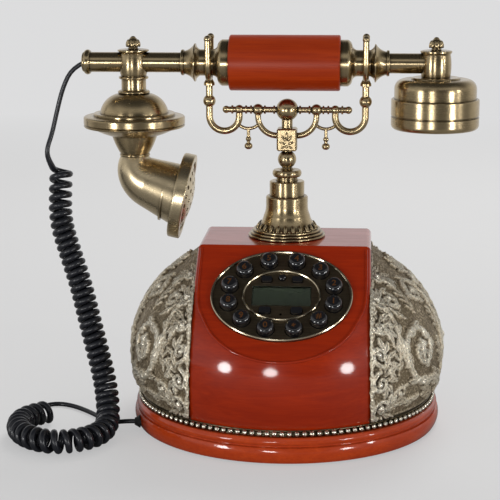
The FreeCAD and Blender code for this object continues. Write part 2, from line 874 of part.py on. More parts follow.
def make_bead_ring():
    # The ring is patterned in equal lengths, each a stretch of strip with its own beads
    strip_outer = bead_strip_inner + bead_strip_width
    strip_top = plinth_top + bead_strip_height
    strip = turned((
        (bead_strip_inner, plinth_top), (strip_outer, plinth_top),
        (strip_outer, strip_top), (bead_strip_inner, strip_top),
    )).cut(dome(panel_line_angle, -seam_gap))
    upright = Vec(0, 0, 1)
    length_turn = 360 / bead_lengths
    wedge = Part.makeCylinder(2 * strip_outer, bead_strip_height, Vec(0, 0, plinth_top), upright, length_turn)
    pieces = [strip.common(wedge)]
    ring = strip_outer + bead_proud
    for i in range(beads_per_length):
        turn = math.radians(length_turn) * (i + 0.5) / beads_per_length
        outward = Vec(math.cos(turn), math.sin(turn), 0)
        centre = outward * ring + Vec(0, 0, plinth_top + bead_strip_height / 2)
        pieces.append(Part.makeSphere(bead_radius, centre, outward))
    length = pieces[0].multiFuse(pieces[1:])
    lengths = []
    for i in range(bead_lengths):
        copy = length.copy()
        copy.rotate(Vec(0, 0, 0), upright, i * length_turn)
        lengths.append(copy)
    nodes["bead_ring"] = lengths[0].multiFuse(lengths[1:])


# Keypad

def round_key(radius, height, rounding):
    top = keypad_face_height + height
    stem = key_stem_share * radius
    return turned((
        (0, key_low), (stem, key_low), (stem, flange_low), (radius + key_flange, flange_low),
        (radius + key_flange, flange_high), (radius, flange_high), (radius, top - rounding),
        (radius - rounding, top, rounding * (math.sqrt(0.5) - 0.5) * key_round_fullness), (0, top),
    ))


def bar_key(width, height, rise):
    top = keypad_face_height + rise
    corner = bar_key_corner_share * height
    stem = block(Vec(-width / 2, -height / 2, flange_low), Vec(width / 2, height / 2, top))
    upright = [edge for edge in stem.Edges if abs(edge.tangentAt(edge.FirstParameter).z) > 0.9]
    stem = stem.makeFillet(corner, upright)
    flange = block(
        Vec(-width / 2 - key_flange, -height / 2, flange_low),
        Vec(width / 2 + key_flange, height / 2, flange_high),
    )
    foot = Part.makeCylinder(corner, flange_low - key_low + fuse_overlap, Vec(0, 0, key_low))
    return fused([stem, flange, foot])


def bar_hole(width, height):
    hole = block(
        Vec(-width / 2 - running_gap, -height / 2 - running_gap, -3 * keypad_depth),
        Vec(width / 2 + running_gap, height / 2 + running_gap, 3 * keypad_depth),
    )
    upright = [edge for edge in hole.Edges if abs(edge.tangentAt(edge.FirstParameter).z) > 0.9]
    return hole.makeFillet(bar_key_corner_share * height, upright)


def key_ring_place(index):
    turn = math.radians(key_first_turn + 360 / len(key_names) * index)
    return Vec(key_ring_half_width * math.cos(turn), key_ring_half_height * math.sin(turn), 0)


bar_keys = (
    ("key_upper_left", side_key_width, side_key_height, Vec(-side_key_spread, side_key_rise, 0)),
    ("key_upper_right", side_key_width, side_key_height, Vec(side_key_spread, side_key_rise, 0)),
    ("key_lower_left", low_key_width, low_key_height, Vec(-low_key_spread, -low_key_drop, 0)),
    ("key_lower_right", low_key_width, low_key_height, Vec(low_key_spread, -low_key_drop, 0)),
)
small_key_place = Vec(0, small_key_rise, 0)


def make_keys():
    for index, label in enumerate(key_names):
        key = round_key(key_radius, key_height, key_round)
        key.translate(key_ring_place(index))
        nodes["key_" + label] = on_slope(key)
    small = round_key(small_key_radius, function_key_height, small_key_round)
    small.translate(small_key_place)
    nodes["key_upper_middle"] = on_slope(small)
    for name, width, height, place in bar_keys:
        key = bar_key(width, height, function_key_height)
        key.translate(place)
        nodes[name] = on_slope(key)


def post_places():
    across = keypad_half_width - keypad_lip - post_inset
    along = keypad_half_height - keypad_lip - post_inset + post_row_shift
    return (Vec(-across, 0, 0), Vec(across, 0, 0), Vec(0, -along, 0), Vec(0, along, 0))


def make_keypad():
    plug_width = keypad_half_width - keypad_lip
    plug_height = keypad_half_height - keypad_lip
    face = oval(keypad_half_width, keypad_half_height, 0, keypad_face_height)
    plug = oval(plug_width, plug_height, -keypad_depth, 0)
    rim = raised_ring(keypad_half_width, keypad_half_height, keypad_rim_width, keypad_rim_height)
    bezel = raised_ring(bezel_half_width, bezel_half_height, bezel_width, bezel_height)
    posts = []
    for place in post_places():
        posts.append(Part.makeCylinder(post_radius, -board_top, place + Vec(0, 0, board_top)))
    plate = fused([face, plug, rim, bezel] + posts)
    holes = []
    below = Vec(0, 0, -3 * keypad_depth)
    drill = 6 * keypad_depth
    for index in range(len(key_names)):
        holes.append(Part.makeCylinder(key_gap_hole, drill, key_ring_place(index) + below))
    holes.append(Part.makeCylinder(small_key_radius + running_gap, drill, small_key_place + below))
    for name, width, height, place in bar_keys:
        hole = bar_hole(width, height)
        hole.translate(place)
        holes.append(hole)
    holes.append(Part.makeCylinder(microphone_hole_radius, drill, Vec(0, -microphone_hole_drop, 0) + below))
    half_width = window_width / 2 + fit_gap
    half_height = window_height / 2 + fit_gap
    holes.append(block(Vec(-half_width, -half_height, 0) + below, Vec(half_width, half_height, 0) - below))
    for hole in holes:
        plate = plate.cut(hole)
    nodes["keypad_plate"] = on_slope(plate)

    window_top = keypad_face_height - window_recess
    nodes["display_window"] = on_slope(block(
        Vec(-window_width / 2, -window_height / 2, window_top - window_thickness),
        Vec(window_width / 2, window_height / 2, window_top),
    ))
    half_width = window_width / 2 + display_margin
    half_height = window_height / 2 + display_margin
    display_top = -keypad_depth
    display = block(
        Vec(-half_width, -half_height, display_top - display_thickness),
        Vec(half_width, half_height, display_top),
    )
    half_width = window_width / 2 - display_inset
    half_height = window_height / 2 - display_inset
    raised = block(
        Vec(-half_width, -half_height, display_top - fuse_overlap),
        Vec(half_width, half_height, window_top - window_thickness),
    )
    nodes["display_module"] = on_slope(display.fuse(raised))

    mat = oval(plug_width - board_inset, plug_height - board_inset, board_top, mat_top)
    bumps = [mat]
    board_face = Vec(0, 0, board_top)
    for index in range(len(key_names)):
        place = key_ring_place(index) + board_face
        bumps.append(Part.makeCylinder(mat_dome_radius, dome_high - board_top, place))
    mat = fused(bumps)
    for place in post_places():
        start = place + board_face - Vec(0, 0, cut_past)
        mat = mat.cut(Part.makeCylinder(post_radius + seam_gap, 4 * mat_thickness, start))
    nodes["keypad_mat"] = on_slope(mat)
    board = oval(plug_width - board_inset, plug_height - board_inset, board_low, board_top)
    nodes["keypad_board"] = on_slope(board)


# Column and hook switch

def make_column():
    step_one = body_top + bell_step_height
    step_two = step_one + bell_step_height
    step_three = step_two + bell_step_height
    flare_top = body_top + bell_flare_share * bell_height
    flare_radius = bell_waist_radius + bell_flare
    shoulder = bell_top - bell_shoulder
    neck_low = shoulder - bell_neck_share * bell_height
    inner_top = bell_top - bell_wall
    bore = sleeve_tail_radius + fit_gap
    nodes["column_bell"] = turned((
        (bell_foot_radius - bell_wall, body_top), (bell_foot_radius, body_top),
        (bell_foot_radius, step_one, bell_step_bow),
        (bell_foot_radius - bell_step, step_one), (bell_foot_radius - bell_step, step_two, bell_step_bow),
        (bell_foot_radius - 2 * bell_step, step_two),
        (bell_foot_radius - 2 * bell_step, step_three, bell_step_bow),
        (bell_skirt_radius + bell_skirt_lip, step_three), (flare_radius, flare_top, -bell_flare_hollow),
        (bell_waist_radius, neck_low, -bell_neck_hollow), (bell_waist_radius, shoulder),
        (bell_waist_radius - bell_shoulder_inset, bell_top, bell_shoulder_bow), (bore, bell_top),
        (bore, inner_top), (bell_waist_radius - bell_wall, inner_top),
        (bell_waist_radius - bell_wall, neck_low),
        (flare_radius - bell_wall, flare_top, bell_neck_hollow),
        (bell_skirt_radius - bell_wall, step_three, bell_flare_hollow),
    ))
    floor_low = floor_top - sleeve_floor
    tail_low = body_top - sleeve_tail_below
    guide = stem_neck_radius + running_gap
    rod_bore = stem_rod_radius + running_gap
    nodes["column_sleeve"] = turned((
        (rod_bore, floor_low), (rod_bore + sleeve_mouth_flare, tail_low), (sleeve_tail_radius, tail_low),
        (sleeve_tail_radius, bell_top), (sleeve_radius, bell_top), (sleeve_radius, sleeve_top - sleeve_edge),
        (sleeve_radius - sleeve_edge_inset, sleeve_top, sleeve_edge_bow), (guide, sleeve_top),
        (guide, floor_top), (rod_bore, floor_top),
    ))
    nut_top = body_top - body_wall
    across = nut_flats / math.sqrt(3)
    corners = []
    for i in range(6):
        turn = math.pi * i / 3
        corners.append(Vec(across * math.cos(turn), across * math.sin(turn), nut_top - nut_thickness))
    nut = prism(corners, Vec(0, 0, nut_thickness))
    bore_low = Vec(0, 0, nut_top - 2 * nut_thickness)
    nodes["column_nut"] = nut.cut(Part.makeCylinder(bore, 3 * nut_thickness, bore_low))


def make_hook_switch():
    ceiling = body_top - body_wall
    button_top = rod_bottom - switch_gap
    switch_top = button_top - switch_button_height
    switch_low = switch_top - switch_height
    half = bracket_width / 2
    parts = []
    for side in (-1, 1):
        inner = side * (bracket_half_span - bracket_thickness)
        outer = side * bracket_half_span
        foot = side * (bracket_half_span + bracket_foot)
        parts.append(block(
            Vec(min(inner, outer), -half, switch_low - bracket_thickness),
            Vec(max(inner, outer), half, ceiling),
        ))
        parts.append(block(
            Vec(min(inner, foot), -half, ceiling - bracket_thickness), Vec(max(inner, foot), half, ceiling)))
    parts.append(block(
        Vec(-bracket_half_span, -half, switch_low - bracket_thickness),
        Vec(bracket_half_span, half, switch_low),
    ))
    parts.append(block(
        Vec(-switch_width / 2, -switch_depth / 2, switch_low - fuse_overlap),
        Vec(switch_width / 2, switch_depth / 2, switch_top),
    ))
    parts.append(Part.makeCylinder(
        switch_button_radius, switch_button_height + fuse_overlap, Vec(0, 0, switch_top - fuse_overlap)))
    nodes["hook_switch"] = fused(parts)


# Cradle

def make_stem():
    ball_height = cap_top + stem_ball_rise
    throat = math.sqrt(stem_ball_radius ** 2 - stem_throat_radius ** 2)
    nodes["cradle_stem"] = turned((
        (0, rod_bottom), (stem_rod_radius, rod_bottom), (stem_rod_radius, neck_bottom),
        (stem_neck_radius, neck_bottom), (stem_neck_radius, cap_bottom),
        (stem_cap_radius - stem_cap_inset, cap_bottom),
        (stem_cap_radius - stem_cap_inset, cap_top, stem_cap_bow),
        (stem_throat_radius + stem_cap_shelf, cap_top),
        (stem_throat_radius, ball_height - throat, -stem_throat_hollow),
        (stem_throat_radius, ball_height + throat, stem_ball_radius - stem_throat_radius),
        (stem_throat_radius, block_bottom), (0, block_bottom),
    ))


def bent_hook():
    # The hook that carries one fork: down from the bar, round half a circle, up to the fork's foot.
    inner_x = fork_spread - 2 * hook_radius
    turn_height = crossbar_height - hook_leg
    return swept([
        line(Vec(inner_x, 0, crossbar_height), Vec(inner_x, 0, turn_height)),
        arc(
            Vec(inner_x, 0, turn_height), Vec(inner_x + hook_radius, 0, turn_height - hook_radius),
            Vec(fork_spread, 0, turn_height)),
        line(Vec(fork_spread, 0, turn_height), Vec(fork_spread, 0, crossbar_height + fork_foot_rise)),
    ], hook_rod_radius)


def scroll_arm():
    # Quarter circle from the bar in to the block.
    radius = arm_reach - block_half_width
    centre = Vec(block_half_width, 0, crossbar_height - arm_leg)
    diagonal = radius * math.sqrt(0.5)
    return swept([
        line(Vec(arm_reach, 0, crossbar_height), Vec(arm_reach, 0, centre.z)),
        arc(
            Vec(arm_reach, 0, centre.z), centre + Vec(diagonal, 0, -diagonal), centre + Vec(0, 0, -radius)),
        line(centre + Vec(0, 0, -radius), centre + Vec(-block_half_width / 2, 0, -radius)),
    ], arm_rod_radius)


def hanging_link():
    # Small bow between the arm and the hook, with a turned pendant at its lowest point.
    height = crossbar_height - link_drop
    arm_circle = arm_reach - block_half_width
    arm_x = block_half_width + math.sqrt(arm_circle ** 2 - (link_drop - arm_leg) ** 2)
    hook_x = fork_spread - hook_radius - math.sqrt(hook_radius ** 2 - (link_drop - hook_leg) ** 2)
    middle_x = (arm_x + hook_x) / 2
    bow = swept([arc(
        Vec(arm_x, 0, height), Vec(middle_x, 0, height - link_sag), Vec(hook_x, 0, height))], link_rod_radius)
    low = -pendant_length
    bead = 0.5 * low
    neck = pendant_neck_share * pendant_bead_radius
    waist = math.sqrt(pendant_bead_radius ** 2 - neck ** 2)
    ball_centre = low + pendant_ball_radius
    ball_neck = ball_centre + math.sqrt(pendant_ball_radius ** 2 - neck ** 2)
    pendant = turned((
        (0, low), (neck, ball_neck, pendant_ball_radius * pendant_ball_fullness), (neck, bead - waist),
        (neck, bead + waist, pendant_bead_radius - neck), (neck, 0), (0, 0),
    ), Vec(middle_x, 0, height - link_sag))
    return [bow, pendant]


def crossbar_ring(x):
    start = Vec(x - crossbar_ring_width / 2, 0, crossbar_height)
    return rod(crossbar_ring_radius, start, start + Vec(crossbar_ring_width, 0, 0))


def make_cradle_frame():
    end = Vec(crossbar_half_length, 0, crossbar_height)
    hook_x = fork_spread - 2 * hook_radius
    side = [bent_hook(), scroll_arm()] + hanging_link()
    side.append(ball(crossbar_end_radius, end))
    side.append(ball(hook_bead_radius, Vec(hook_x, 0, crossbar_height)))
    side.append(ball(arm_bead_radius, Vec(arm_reach, 0, crossbar_height)))
    side.append(crossbar_ring(crossbar_ball_radius + crossbar_ring_width))
    for x in (arm_reach, hook_x):
        side.append(crossbar_ring(x - crossbar_ring_offset))
        side.append(crossbar_ring(x + crossbar_ring_offset))
    half = fused(side)
    centre_block = block(
        Vec(-block_half_width, -block_half_width, block_bottom),
        Vec(block_half_width, block_half_width, block_top),
    )
    centre_block = centre_block.makeChamfer(block_chamfer, centre_block.Edges)
    neck_radius = block_neck_share * block_half_width
    neck = Part.makeCylinder(neck_radius, crossbar_rise, Vec(0, 0, block_top - fuse_overlap))
    bar = rod(crossbar_radius, Vec(-crossbar_half_length, 0, crossbar_height), end)
    centre_ball = ball(crossbar_ball_radius, Vec(0, 0, crossbar_height))
    nodes["cradle_frame"] = fused([bar, centre_ball, neck, centre_block, half, mirrored(half)])


def make_forks():
    seat = ferrule_neck_radius + running_gap + fork_prong_radius
    foot = crossbar_height + fork_foot_rise
    ball_height = crossbar_height + fork_ball_rise
    bottom = handset_height - seat
    throat = math.sqrt(fork_ball_radius ** 2 - hook_rod_radius ** 2)
    collar = bottom - fork_prong_radius - fork_collar_height
    stem = turned((
        (0, foot), (hook_rod_radius, foot), (hook_rod_radius, ball_height - throat),
        (hook_rod_radius, ball_height + throat, fork_ball_radius - hook_rod_radius),
        (hook_rod_radius, collar), (fork_collar_radius, collar + fork_collar_edge),
        (fork_collar_radius, collar + fork_collar_height - fork_collar_edge),
        (fork_prong_radius, bottom + fuse_overlap), (0, bottom + fuse_overlap),
    ), Vec(fork_spread, 0, 0))
    tip = handset_height + fork_prong_rise
    prongs = swept([
        line(Vec(fork_spread, -seat, tip), Vec(fork_spread, -seat, handset_height)),
        arc(
            Vec(fork_spread, -seat, handset_height), Vec(fork_spread, 0, bottom),
            Vec(fork_spread, seat, handset_height)),
        line(Vec(fork_spread, seat, handset_height), Vec(fork_spread, seat, tip)),
    ], fork_prong_radius)
    tips = [ball(fork_tip_radius, Vec(fork_spread, y, tip)) for y in (-seat, seat)]
    fork = fused([stem, prongs] + tips)
    nodes["cradle_forks"] = Part.Compound([fork, mirrored(fork)])


def arc_from(start, heading, end):
    # The arc that leaves start along heading and arrives at end.
    chord = end - start
    across = chord - heading * chord.dot(heading)
    if across.Length < 1e-6 * chord.Length:
        return line(start, end)
    across.normalize()
    radius = chord.dot(chord) / (2 * chord.dot(across))
    centre = start + across * radius
    middle = centre + ((start - centre) + (end - centre)).normalize() * radius
    return arc(start, middle, end)


def biarc(start, start_heading, end, end_heading):
    # Two arcs with one tangent where they meet, from one point and heading to another.
    chord = end - start
    both = start_heading + end_heading
    spread = 2 * (1 - start_heading.dot(end_heading))
    along = chord.dot(both)
    if spread < 1e-9:
        reach = chord.dot(chord) / (4 * chord.dot(end_heading))
    else:
        reach = (math.sqrt(along ** 2 + spread * chord.dot(chord)) - along) / spread
    middle = (start + end + (start_heading - end_heading) * reach) * 0.5
    first = arc_from(start, start_heading, middle)
    second_back = arc_from(end, end_heading * -1, middle)
    second = arc(middle, second_back.valueAt(
        (second_back.FirstParameter + second_back.LastParameter) / 2), end)
    return [first, second]


def make_spring():
    # Compression spring round the rod, between the sleeve's floor and the neck of the stem.
    low = floor_top + spring_wire_radius + spring_seat_gap
    high = neck_bottom - spring_wire_radius - spring_seat_gap
    rise = (high - low) / (2 * math.pi * spring_turns)
    knots = []
    for i in range(4 * spring_turns + 1):
        turn = math.pi * i / 2
        place = Vec(spring_radius * math.cos(turn), spring_radius * math.sin(turn), low + rise * turn)
        heading = Vec(-spring_radius * math.sin(turn), spring_radius * math.cos(turn), rise).normalize()
        knots.append((place, heading))
    edges = []
    for (start, start_heading), (end, end_heading) in zip(knots, knots[1:]):
        edges += biarc(start, start_heading, end, end_heading)
    nodes["hook_spring"] = swept(edges, spring_wire_radius)


# Handset

def along_handset(outline, x, heading):
    return turned(outline, Vec(x, 0, handset_height), Vec(heading, 0, 0))


def make_handset_bar():
    bore = tube_radius + fit_gap
    length = ear_x - end_x - end_cap_plug
    nodes["handset_tube"] = along_handset((
        (tube_radius - tube_wall, 0), (tube_radius, 0),
        (tube_radius, length), (tube_radius - tube_wall, length),
    ), end_x + end_cap_length + fit_gap, 1)

    grip_length = 2 * grip_half_length
    nodes["grip_sleeve"] = along_handset((
        (bore, 0), (grip_radius - grip_end_round, 0),
        (grip_radius, grip_end_round, quarter_bow * grip_end_round),
        (grip_radius, grip_length - grip_end_round),
        (grip_radius - grip_end_round, grip_length, quarter_bow * grip_end_round), (bore, grip_length),
    ), handset_shift - grip_half_length, 1)

    neck_start = ferrule_neck_centre - ferrule_neck_length / 2
    neck_end = neck_start + ferrule_neck_length
    cup_low = neck_end + ferrule_cup_rise
    ring_low = ferrule_length - ferrule_ring_width
    ring_radius = ferrule_tip_radius + ferrule_ring_proud
    outline = (
        (bore, 0), (ferrule_collar_radius, 0), (ferrule_collar_radius, ferrule_collar_length),
        (ferrule_shoulder_radius, ferrule_shoulder_end, ferrule_shoulder_bow),
        (ferrule_neck_radius, neck_start, -ferrule_shoulder_bow), (ferrule_neck_radius, neck_end),
        (ferrule_cup_radius, cup_low, -ferrule_cup_hollow), (ferrule_cup_radius, cup_low + ferrule_cup_edge),
        (ferrule_tip_radius, ring_low, -ferrule_taper_hollow), (ring_radius, ring_low),
        (ring_radius, ferrule_length, ferrule_ring_bow), (bore, ferrule_length),
    )
    nodes["ferrules"] = Part.Compound([
        along_handset(outline, handset_shift - grip_half_length, -1),
        along_handset(outline, handset_shift + grip_half_length, 1),
    ])

    nodes["end_cap"] = along_handset((
        (0, -end_cap_plug), (tube_radius - tube_wall - fit_gap, -end_cap_plug),
        (tube_radius - tube_wall - fit_gap, 0), (end_cap_radius - end_cap_bead, 0),
        (end_cap_radius - end_cap_bead, 0.7 * end_cap_length, end_cap_bead),
        (tube_radius, 0.75 * end_cap_length),
        (tube_radius - end_cap_tip, end_cap_length, end_cap_tip_bow), (cord_hole_radius, end_cap_length),
        (cord_hole_radius, end_cap_length - cord_hole_depth), (0, end_cap_length - cord_hole_depth),
    ), end_x + end_cap_length, -1)


def finial(x, low):
    neck = low + 0.12 * finial_height
    belly = low + 0.45 * finial_height
    crown = low + 0.74 * finial_height
    crown_radius = 0.62 * finial_radius
    return turned((
        (0, low), (finial_foot_radius, low), (finial_foot_radius, neck),
        (finial_radius, belly, finial_bow), (crown_radius, crown, finial_bow),
        (0, low + finial_height, sphere_bow(crown_radius, 0.26 * finial_height)),
    ), Vec(x, 0, 0))


def make_mouth_tee():
    collar_low = handset_height + tee_barrel_above
    ring_top = neck_foot + tee_ring_height
    upper_ring = tee_barrel_radius + tee_upper_ring_proud
    upper_ring_low = tee_bottom - tee_ring_height
    barrel = turned((
        (0, neck_foot), (tee_ring_radius - tee_ring_bead, neck_foot),
        (tee_ring_radius - tee_ring_bead, ring_top, tee_ring_bead),
        (tee_neck_radius, ring_top + tee_ring_bead), (tee_neck_radius, upper_ring_low - tee_edge),
        (upper_ring, upper_ring_low), (upper_ring, tee_bottom - tee_edge, tee_upper_ring_bow),
        (tee_barrel_radius - tee_barrel_swell, tee_bottom),
        (tee_barrel_radius - tee_barrel_swell, collar_low, 2 * tee_barrel_swell),
        (tee_collar_radius, collar_low + tee_collar_flare, -tee_edge),
        (tee_collar_radius, tee_top - tee_edge),
        (tee_collar_radius - tee_collar_inset, tee_top), (0, tee_top),
    ), Vec(mouth_x, 0, 0))
    start = Vec(mouth_x - tee_drill, 0, handset_height)
    cross = rod(tube_radius + fit_gap, start, start + Vec(2 * tee_drill, 0, 0))
    wire_way = Part.makeCylinder(tee_bore_radius, handset_height - neck_foot, Vec(mouth_x, 0, neck_foot))
    nodes["mouth_tee"] = barrel.cut(cross).cut(wire_way)


def make_transmitter():
    top_radius = tee_ring_radius - dome_seat_inset
    chord = math.hypot(dome_radius - top_radius, dome_height)
    bow = dome_bow_share * chord
    inner_bow = dome_inner_bow_share * chord
    nodes["transmitter_dome"] = turned((
        (dome_radius - dome_wall, dome_foot), (dome_radius, dome_foot), (top_radius, neck_foot, bow),
        (tee_bore_radius, neck_foot), (tee_bore_radius, neck_foot - dome_wall),
        (top_radius - dome_wall, neck_foot - dome_wall), (dome_radius - dome_wall, dome_foot, -inner_bow),
    ), Vec(mouth_x, 0, 0))

    groove_low = flange_bottom + flange_rim_round
    groove_high = groove_low + 2 * flange_groove
    nodes["transmitter_bowl"] = turned((
        (cone_end_radius - shell_wall, cone_bottom), (cone_end_radius, cone_bottom),
        (cone_end_radius, cone_bottom + cone_lip, cone_lip_bow),
        (bowl_neck_radius - cone_top_inset, bowl_bottom - cone_top_edge, cone_bow),
        (bowl_neck_radius, bowl_bottom), (bowl_mouth_radius, flange_bottom, bowl_bow),
        (flange_radius - flange_rim_round, flange_bottom), (flange_radius, groove_low, flange_rim_bow),
        (flange_radius - flange_groove, groove_low + flange_groove), (flange_radius, groove_high),
        (flange_radius, flange_top - flange_rim_round),
        (flange_radius - flange_rim_round, flange_top, flange_rim_bow),
        (flange_step_radius, flange_top + flange_step_foot),
        (flange_step_radius, dome_foot - flange_step_edge),
        (flange_step_radius - flange_step_inset, dome_foot, flange_step_bow),
        (dome_radius - dome_wall, dome_foot), (dome_radius - dome_wall, flange_bottom + shell_wall),
        (bowl_mouth_radius - bowl_floor_width, flange_bottom + shell_wall),
        (bowl_neck_radius - shell_wall, bowl_bottom + bowl_inner_edge, -bowl_inner_hollow),
        (cone_end_radius - shell_wall, cone_bottom + cone_lip, -cone_bow),
    ), Vec(mouth_x, 0, 0))


def horn_axis():
    turn = math.radians(horn_turn)
    return Vec(math.sin(turn), 0, -math.cos(turn))


def horn_centre(share, radius):
    # Middle of one ring of the bend, swung about a pivot just inside its inner wall.
    turn = math.radians(horn_turn) * share
    pivot = Vec(mouth_x + cone_end_radius + horn_pivot_gap, 0, cone_bottom)
    return pivot - Vec(math.cos(turn), 0, math.sin(turn)) * (horn_pivot_gap + radius)


def horn_mouth_centre():
    return horn_centre(1.0, horn_mouth_radius) + horn_axis() * horn_flare


def half_ring(centre, share, radius):
    turn = math.radians(horn_turn) * share
    outward = Vec(-math.cos(turn), 0, -math.sin(turn)) * radius
    return Part.Wire([arc(centre + outward, centre + Vec(0, radius, 0), centre - outward)])


def horn_body(wall):
    # Half rings are lofted round the bend and out to the mouth, mirrored, closed and made one solid.
    halves = []
    for i in range(horn_sections):
        share = i / (horn_sections - 1)
        radius = cone_end_radius + (horn_bend_radius - cone_end_radius) * share
        halves.append(half_ring(horn_centre(share, radius), share, radius - wall))
    mouth = half_ring(horn_mouth_centre(), 1.0, horn_mouth_radius - wall)
    bend = Part.makeLoft(halves, False, False)
    flare = Part.makeLoft([halves[-1], mouth], False, True)
    faces = bend.Faces + flare.Faces
    for end in (halves[0], mouth):
        closing = line(end.Vertexes[-1].Point, end.Vertexes[0].Point)
        faces.append(Part.Face(Part.Wire(end.Edges + [closing])))
    faces += [face.mirror(Vec(0, 0, 0), Vec(0, 1, 0)) for face in faces]
    shell = Part.Shell(faces)
    shell.sewShape()
    return Part.Solid(Part.Shell(shell.Faces))


def make_horn():
    axis = horn_axis()
    mouth = horn_mouth_centre()
    ring_start = mouth - axis * horn_ring_back
    flare_radius = horn_mouth_radius - (horn_mouth_radius - horn_bend_radius) * horn_ring_back / horn_flare
    ring = rod(flare_radius + horn_ring_proud, ring_start, ring_start + axis * horn_ring_width)
    nodes["horn_elbow"] = horn_body(0).fuse(ring).cut(horn_body(shell_wall)).removeSplitter()

    front = mouth_cap_depth
    grille_edge = front - grille_sink
    dome_bow = grille_dome + grille_sink
    shell = turned((
        (capsule_radius + running_gap, 0), (mouth_cap_radius - mouth_cap_back_inset, 0),
        (mouth_cap_radius, 0.2 * front, mouth_cap_back_bow), (mouth_cap_radius, front - mouth_cap_edge),
        (mouth_cap_radius - mouth_cap_edge, front, mouth_cap_edge_bow),
        (grille_radius + grille_bevel, front), (grille_radius, grille_edge),
    ) + dome_cap(grille_radius, grille_edge, dome_bow, grille_wall) + (
        (grille_radius, grille_wall), (capsule_radius + running_gap, grille_wall),
    ), mouth, axis)
    drill_start = mouth + axis * (front - grille_drill)
    holes = hole_ring(grille_rings, grille_hole_radius, front + grille_dome, drill_start, axis)
    nodes["mouth_cap"] = shell.cut(holes)
    nodes["microphone"] = turned((
        (0, -capsule_depth), (capsule_radius - capsule_taper, -capsule_depth),
        (capsule_radius, -capsule_depth + capsule_taper),
        (capsule_radius, grille_wall), (0, grille_wall),
    ), mouth, axis)


def dome_cap(radius, low, bow, wall):
    # A shallow round cap from its edge over the top and back inside, as outline points with arcs.
    half_bow = sphere_bow(radius, bow)
    inner = radius - wall
    inner_bow = sphere_bow(inner, bow - 0.5 * wall)
    return (
        (0, low + bow, half_bow), (0, low + bow - wall), (inner, low - 0.5 * wall, -inner_bow),
    )


def sphere_bow(radius, rise):
    # Bow of the arc from a cap's edge to its top, when the whole cap has this radius and rise.
    sphere = (radius ** 2 + rise ** 2) / (2 * rise)
    half_chord = math.hypot(radius, rise) / 2
    return sphere - math.sqrt(sphere ** 2 - half_chord ** 2)


def make_ear():
    collar_low = handset_height + tee_barrel_above
    barrel = turned((
        (0, ear_seat_height), (ear_tee_foot_radius, ear_seat_height),
        (ear_tee_foot_radius, collar_low, ear_tee_swell),
        (tee_collar_radius, collar_low + tee_collar_flare, -ear_collar_hollow),
        (tee_collar_radius, tee_top - tee_edge),
        (tee_collar_radius - tee_collar_inset, tee_top), (0, tee_top),
    ), Vec(ear_x, 0, 0))
    middle = Vec(ear_x, 0, handset_height)
    cross = rod(tube_radius + fit_gap, middle - Vec(tee_drill, 0, 0), middle)
    seat = Vec(ear_x, 0, ear_seat_height)
    wire_way = Part.makeCylinder(tee_bore_radius, handset_height - ear_seat_height, seat)
    nodes["ear_tee"] = barrel.cut(cross).cut(wire_way)

    flat = ear_dome_radius - ear_dome_round
    dome_top = ear_seat_height - ear_seat_rise
    round_low = dome_top - ear_dome_round
    inner_top = dome_top - shell_wall
    inner = ear_dome_radius - shell_wall
    nodes["ear_dome"] = turned((
        (inner, ear_rim_height), (ear_dome_radius, ear_rim_height), (ear_dome_radius, round_low),
        (flat, dome_top, quarter_bow * ear_dome_round), (ear_seat_radius, dome_top),
        (ear_seat_radius - ear_seat_inset, ear_seat_height, ear_seat_bow), (tee_bore_radius, ear_seat_height),
        (tee_bore_radius, inner_top), (flat, inner_top),
        (inner, round_low, -ear_dome_inner_bow * ear_dome_round),
    ), Vec(ear_x, 0, 0))

    low = ear_rim_height - ear_cap_height
    groove = low + ear_cap_groove_rise
    cap_inner = ear_cap_radius - shell_wall
    dish_radius = ear_cap_radius - ear_cap_round - ear_dish_edge
    groove_radius = ear_cap_radius - ear_cap_groove
    groove_top = groove + ear_cap_groove_width
    seat = low + ear_dish + shell_wall
    cap = turned((
        (0, low + ear_dish), (dish_radius, low, ear_dish_bow), (ear_cap_radius - ear_cap_round, low),
        (ear_cap_radius, low + ear_cap_round, quarter_bow * ear_cap_round), (ear_cap_radius, groove),
        (groove_radius, groove + ear_cap_groove_edge), (groove_radius, groove_top - ear_cap_groove_edge),
        (ear_cap_radius, groove_top), (ear_cap_radius, ear_rim_height - ear_cap_edge),
        (ear_cap_radius - ear_cap_edge, ear_rim_height, ear_cap_edge_bow),
        (ear_dome_radius - shell_wall, ear_rim_height),
        (cap_inner - ear_cap_thread, ear_rim_height - ear_cap_thread_top), (cap_inner - ear_cap_thread, seat),
        (0, seat),
    ), Vec(ear_x, 0, 0))
    drill_low = Vec(ear_x, 0, low - cut_past)
    drill = ear_dish + shell_wall + 2 * cut_past
    nodes["ear_cap"] = cap.cut(hole_ring(ear_rings, ear_hole_radius, drill, drill_low, Vec(0, 0, 1)))
    nodes["receiver"] = turned((
        (0, seat), (receiver_radius, seat), (receiver_radius, seat + 0.6 * receiver_height),
        (0.5 * receiver_radius, seat + 0.8 * receiver_height),
        (0.5 * receiver_radius, seat + receiver_height), (0, seat + receiver_height),
    ), Vec(ear_x, 0, 0))

    nodes["finials"] = Part.Compound([finial(mouth_x, tee_top), finial(ear_x, tee_top)])


# Cord

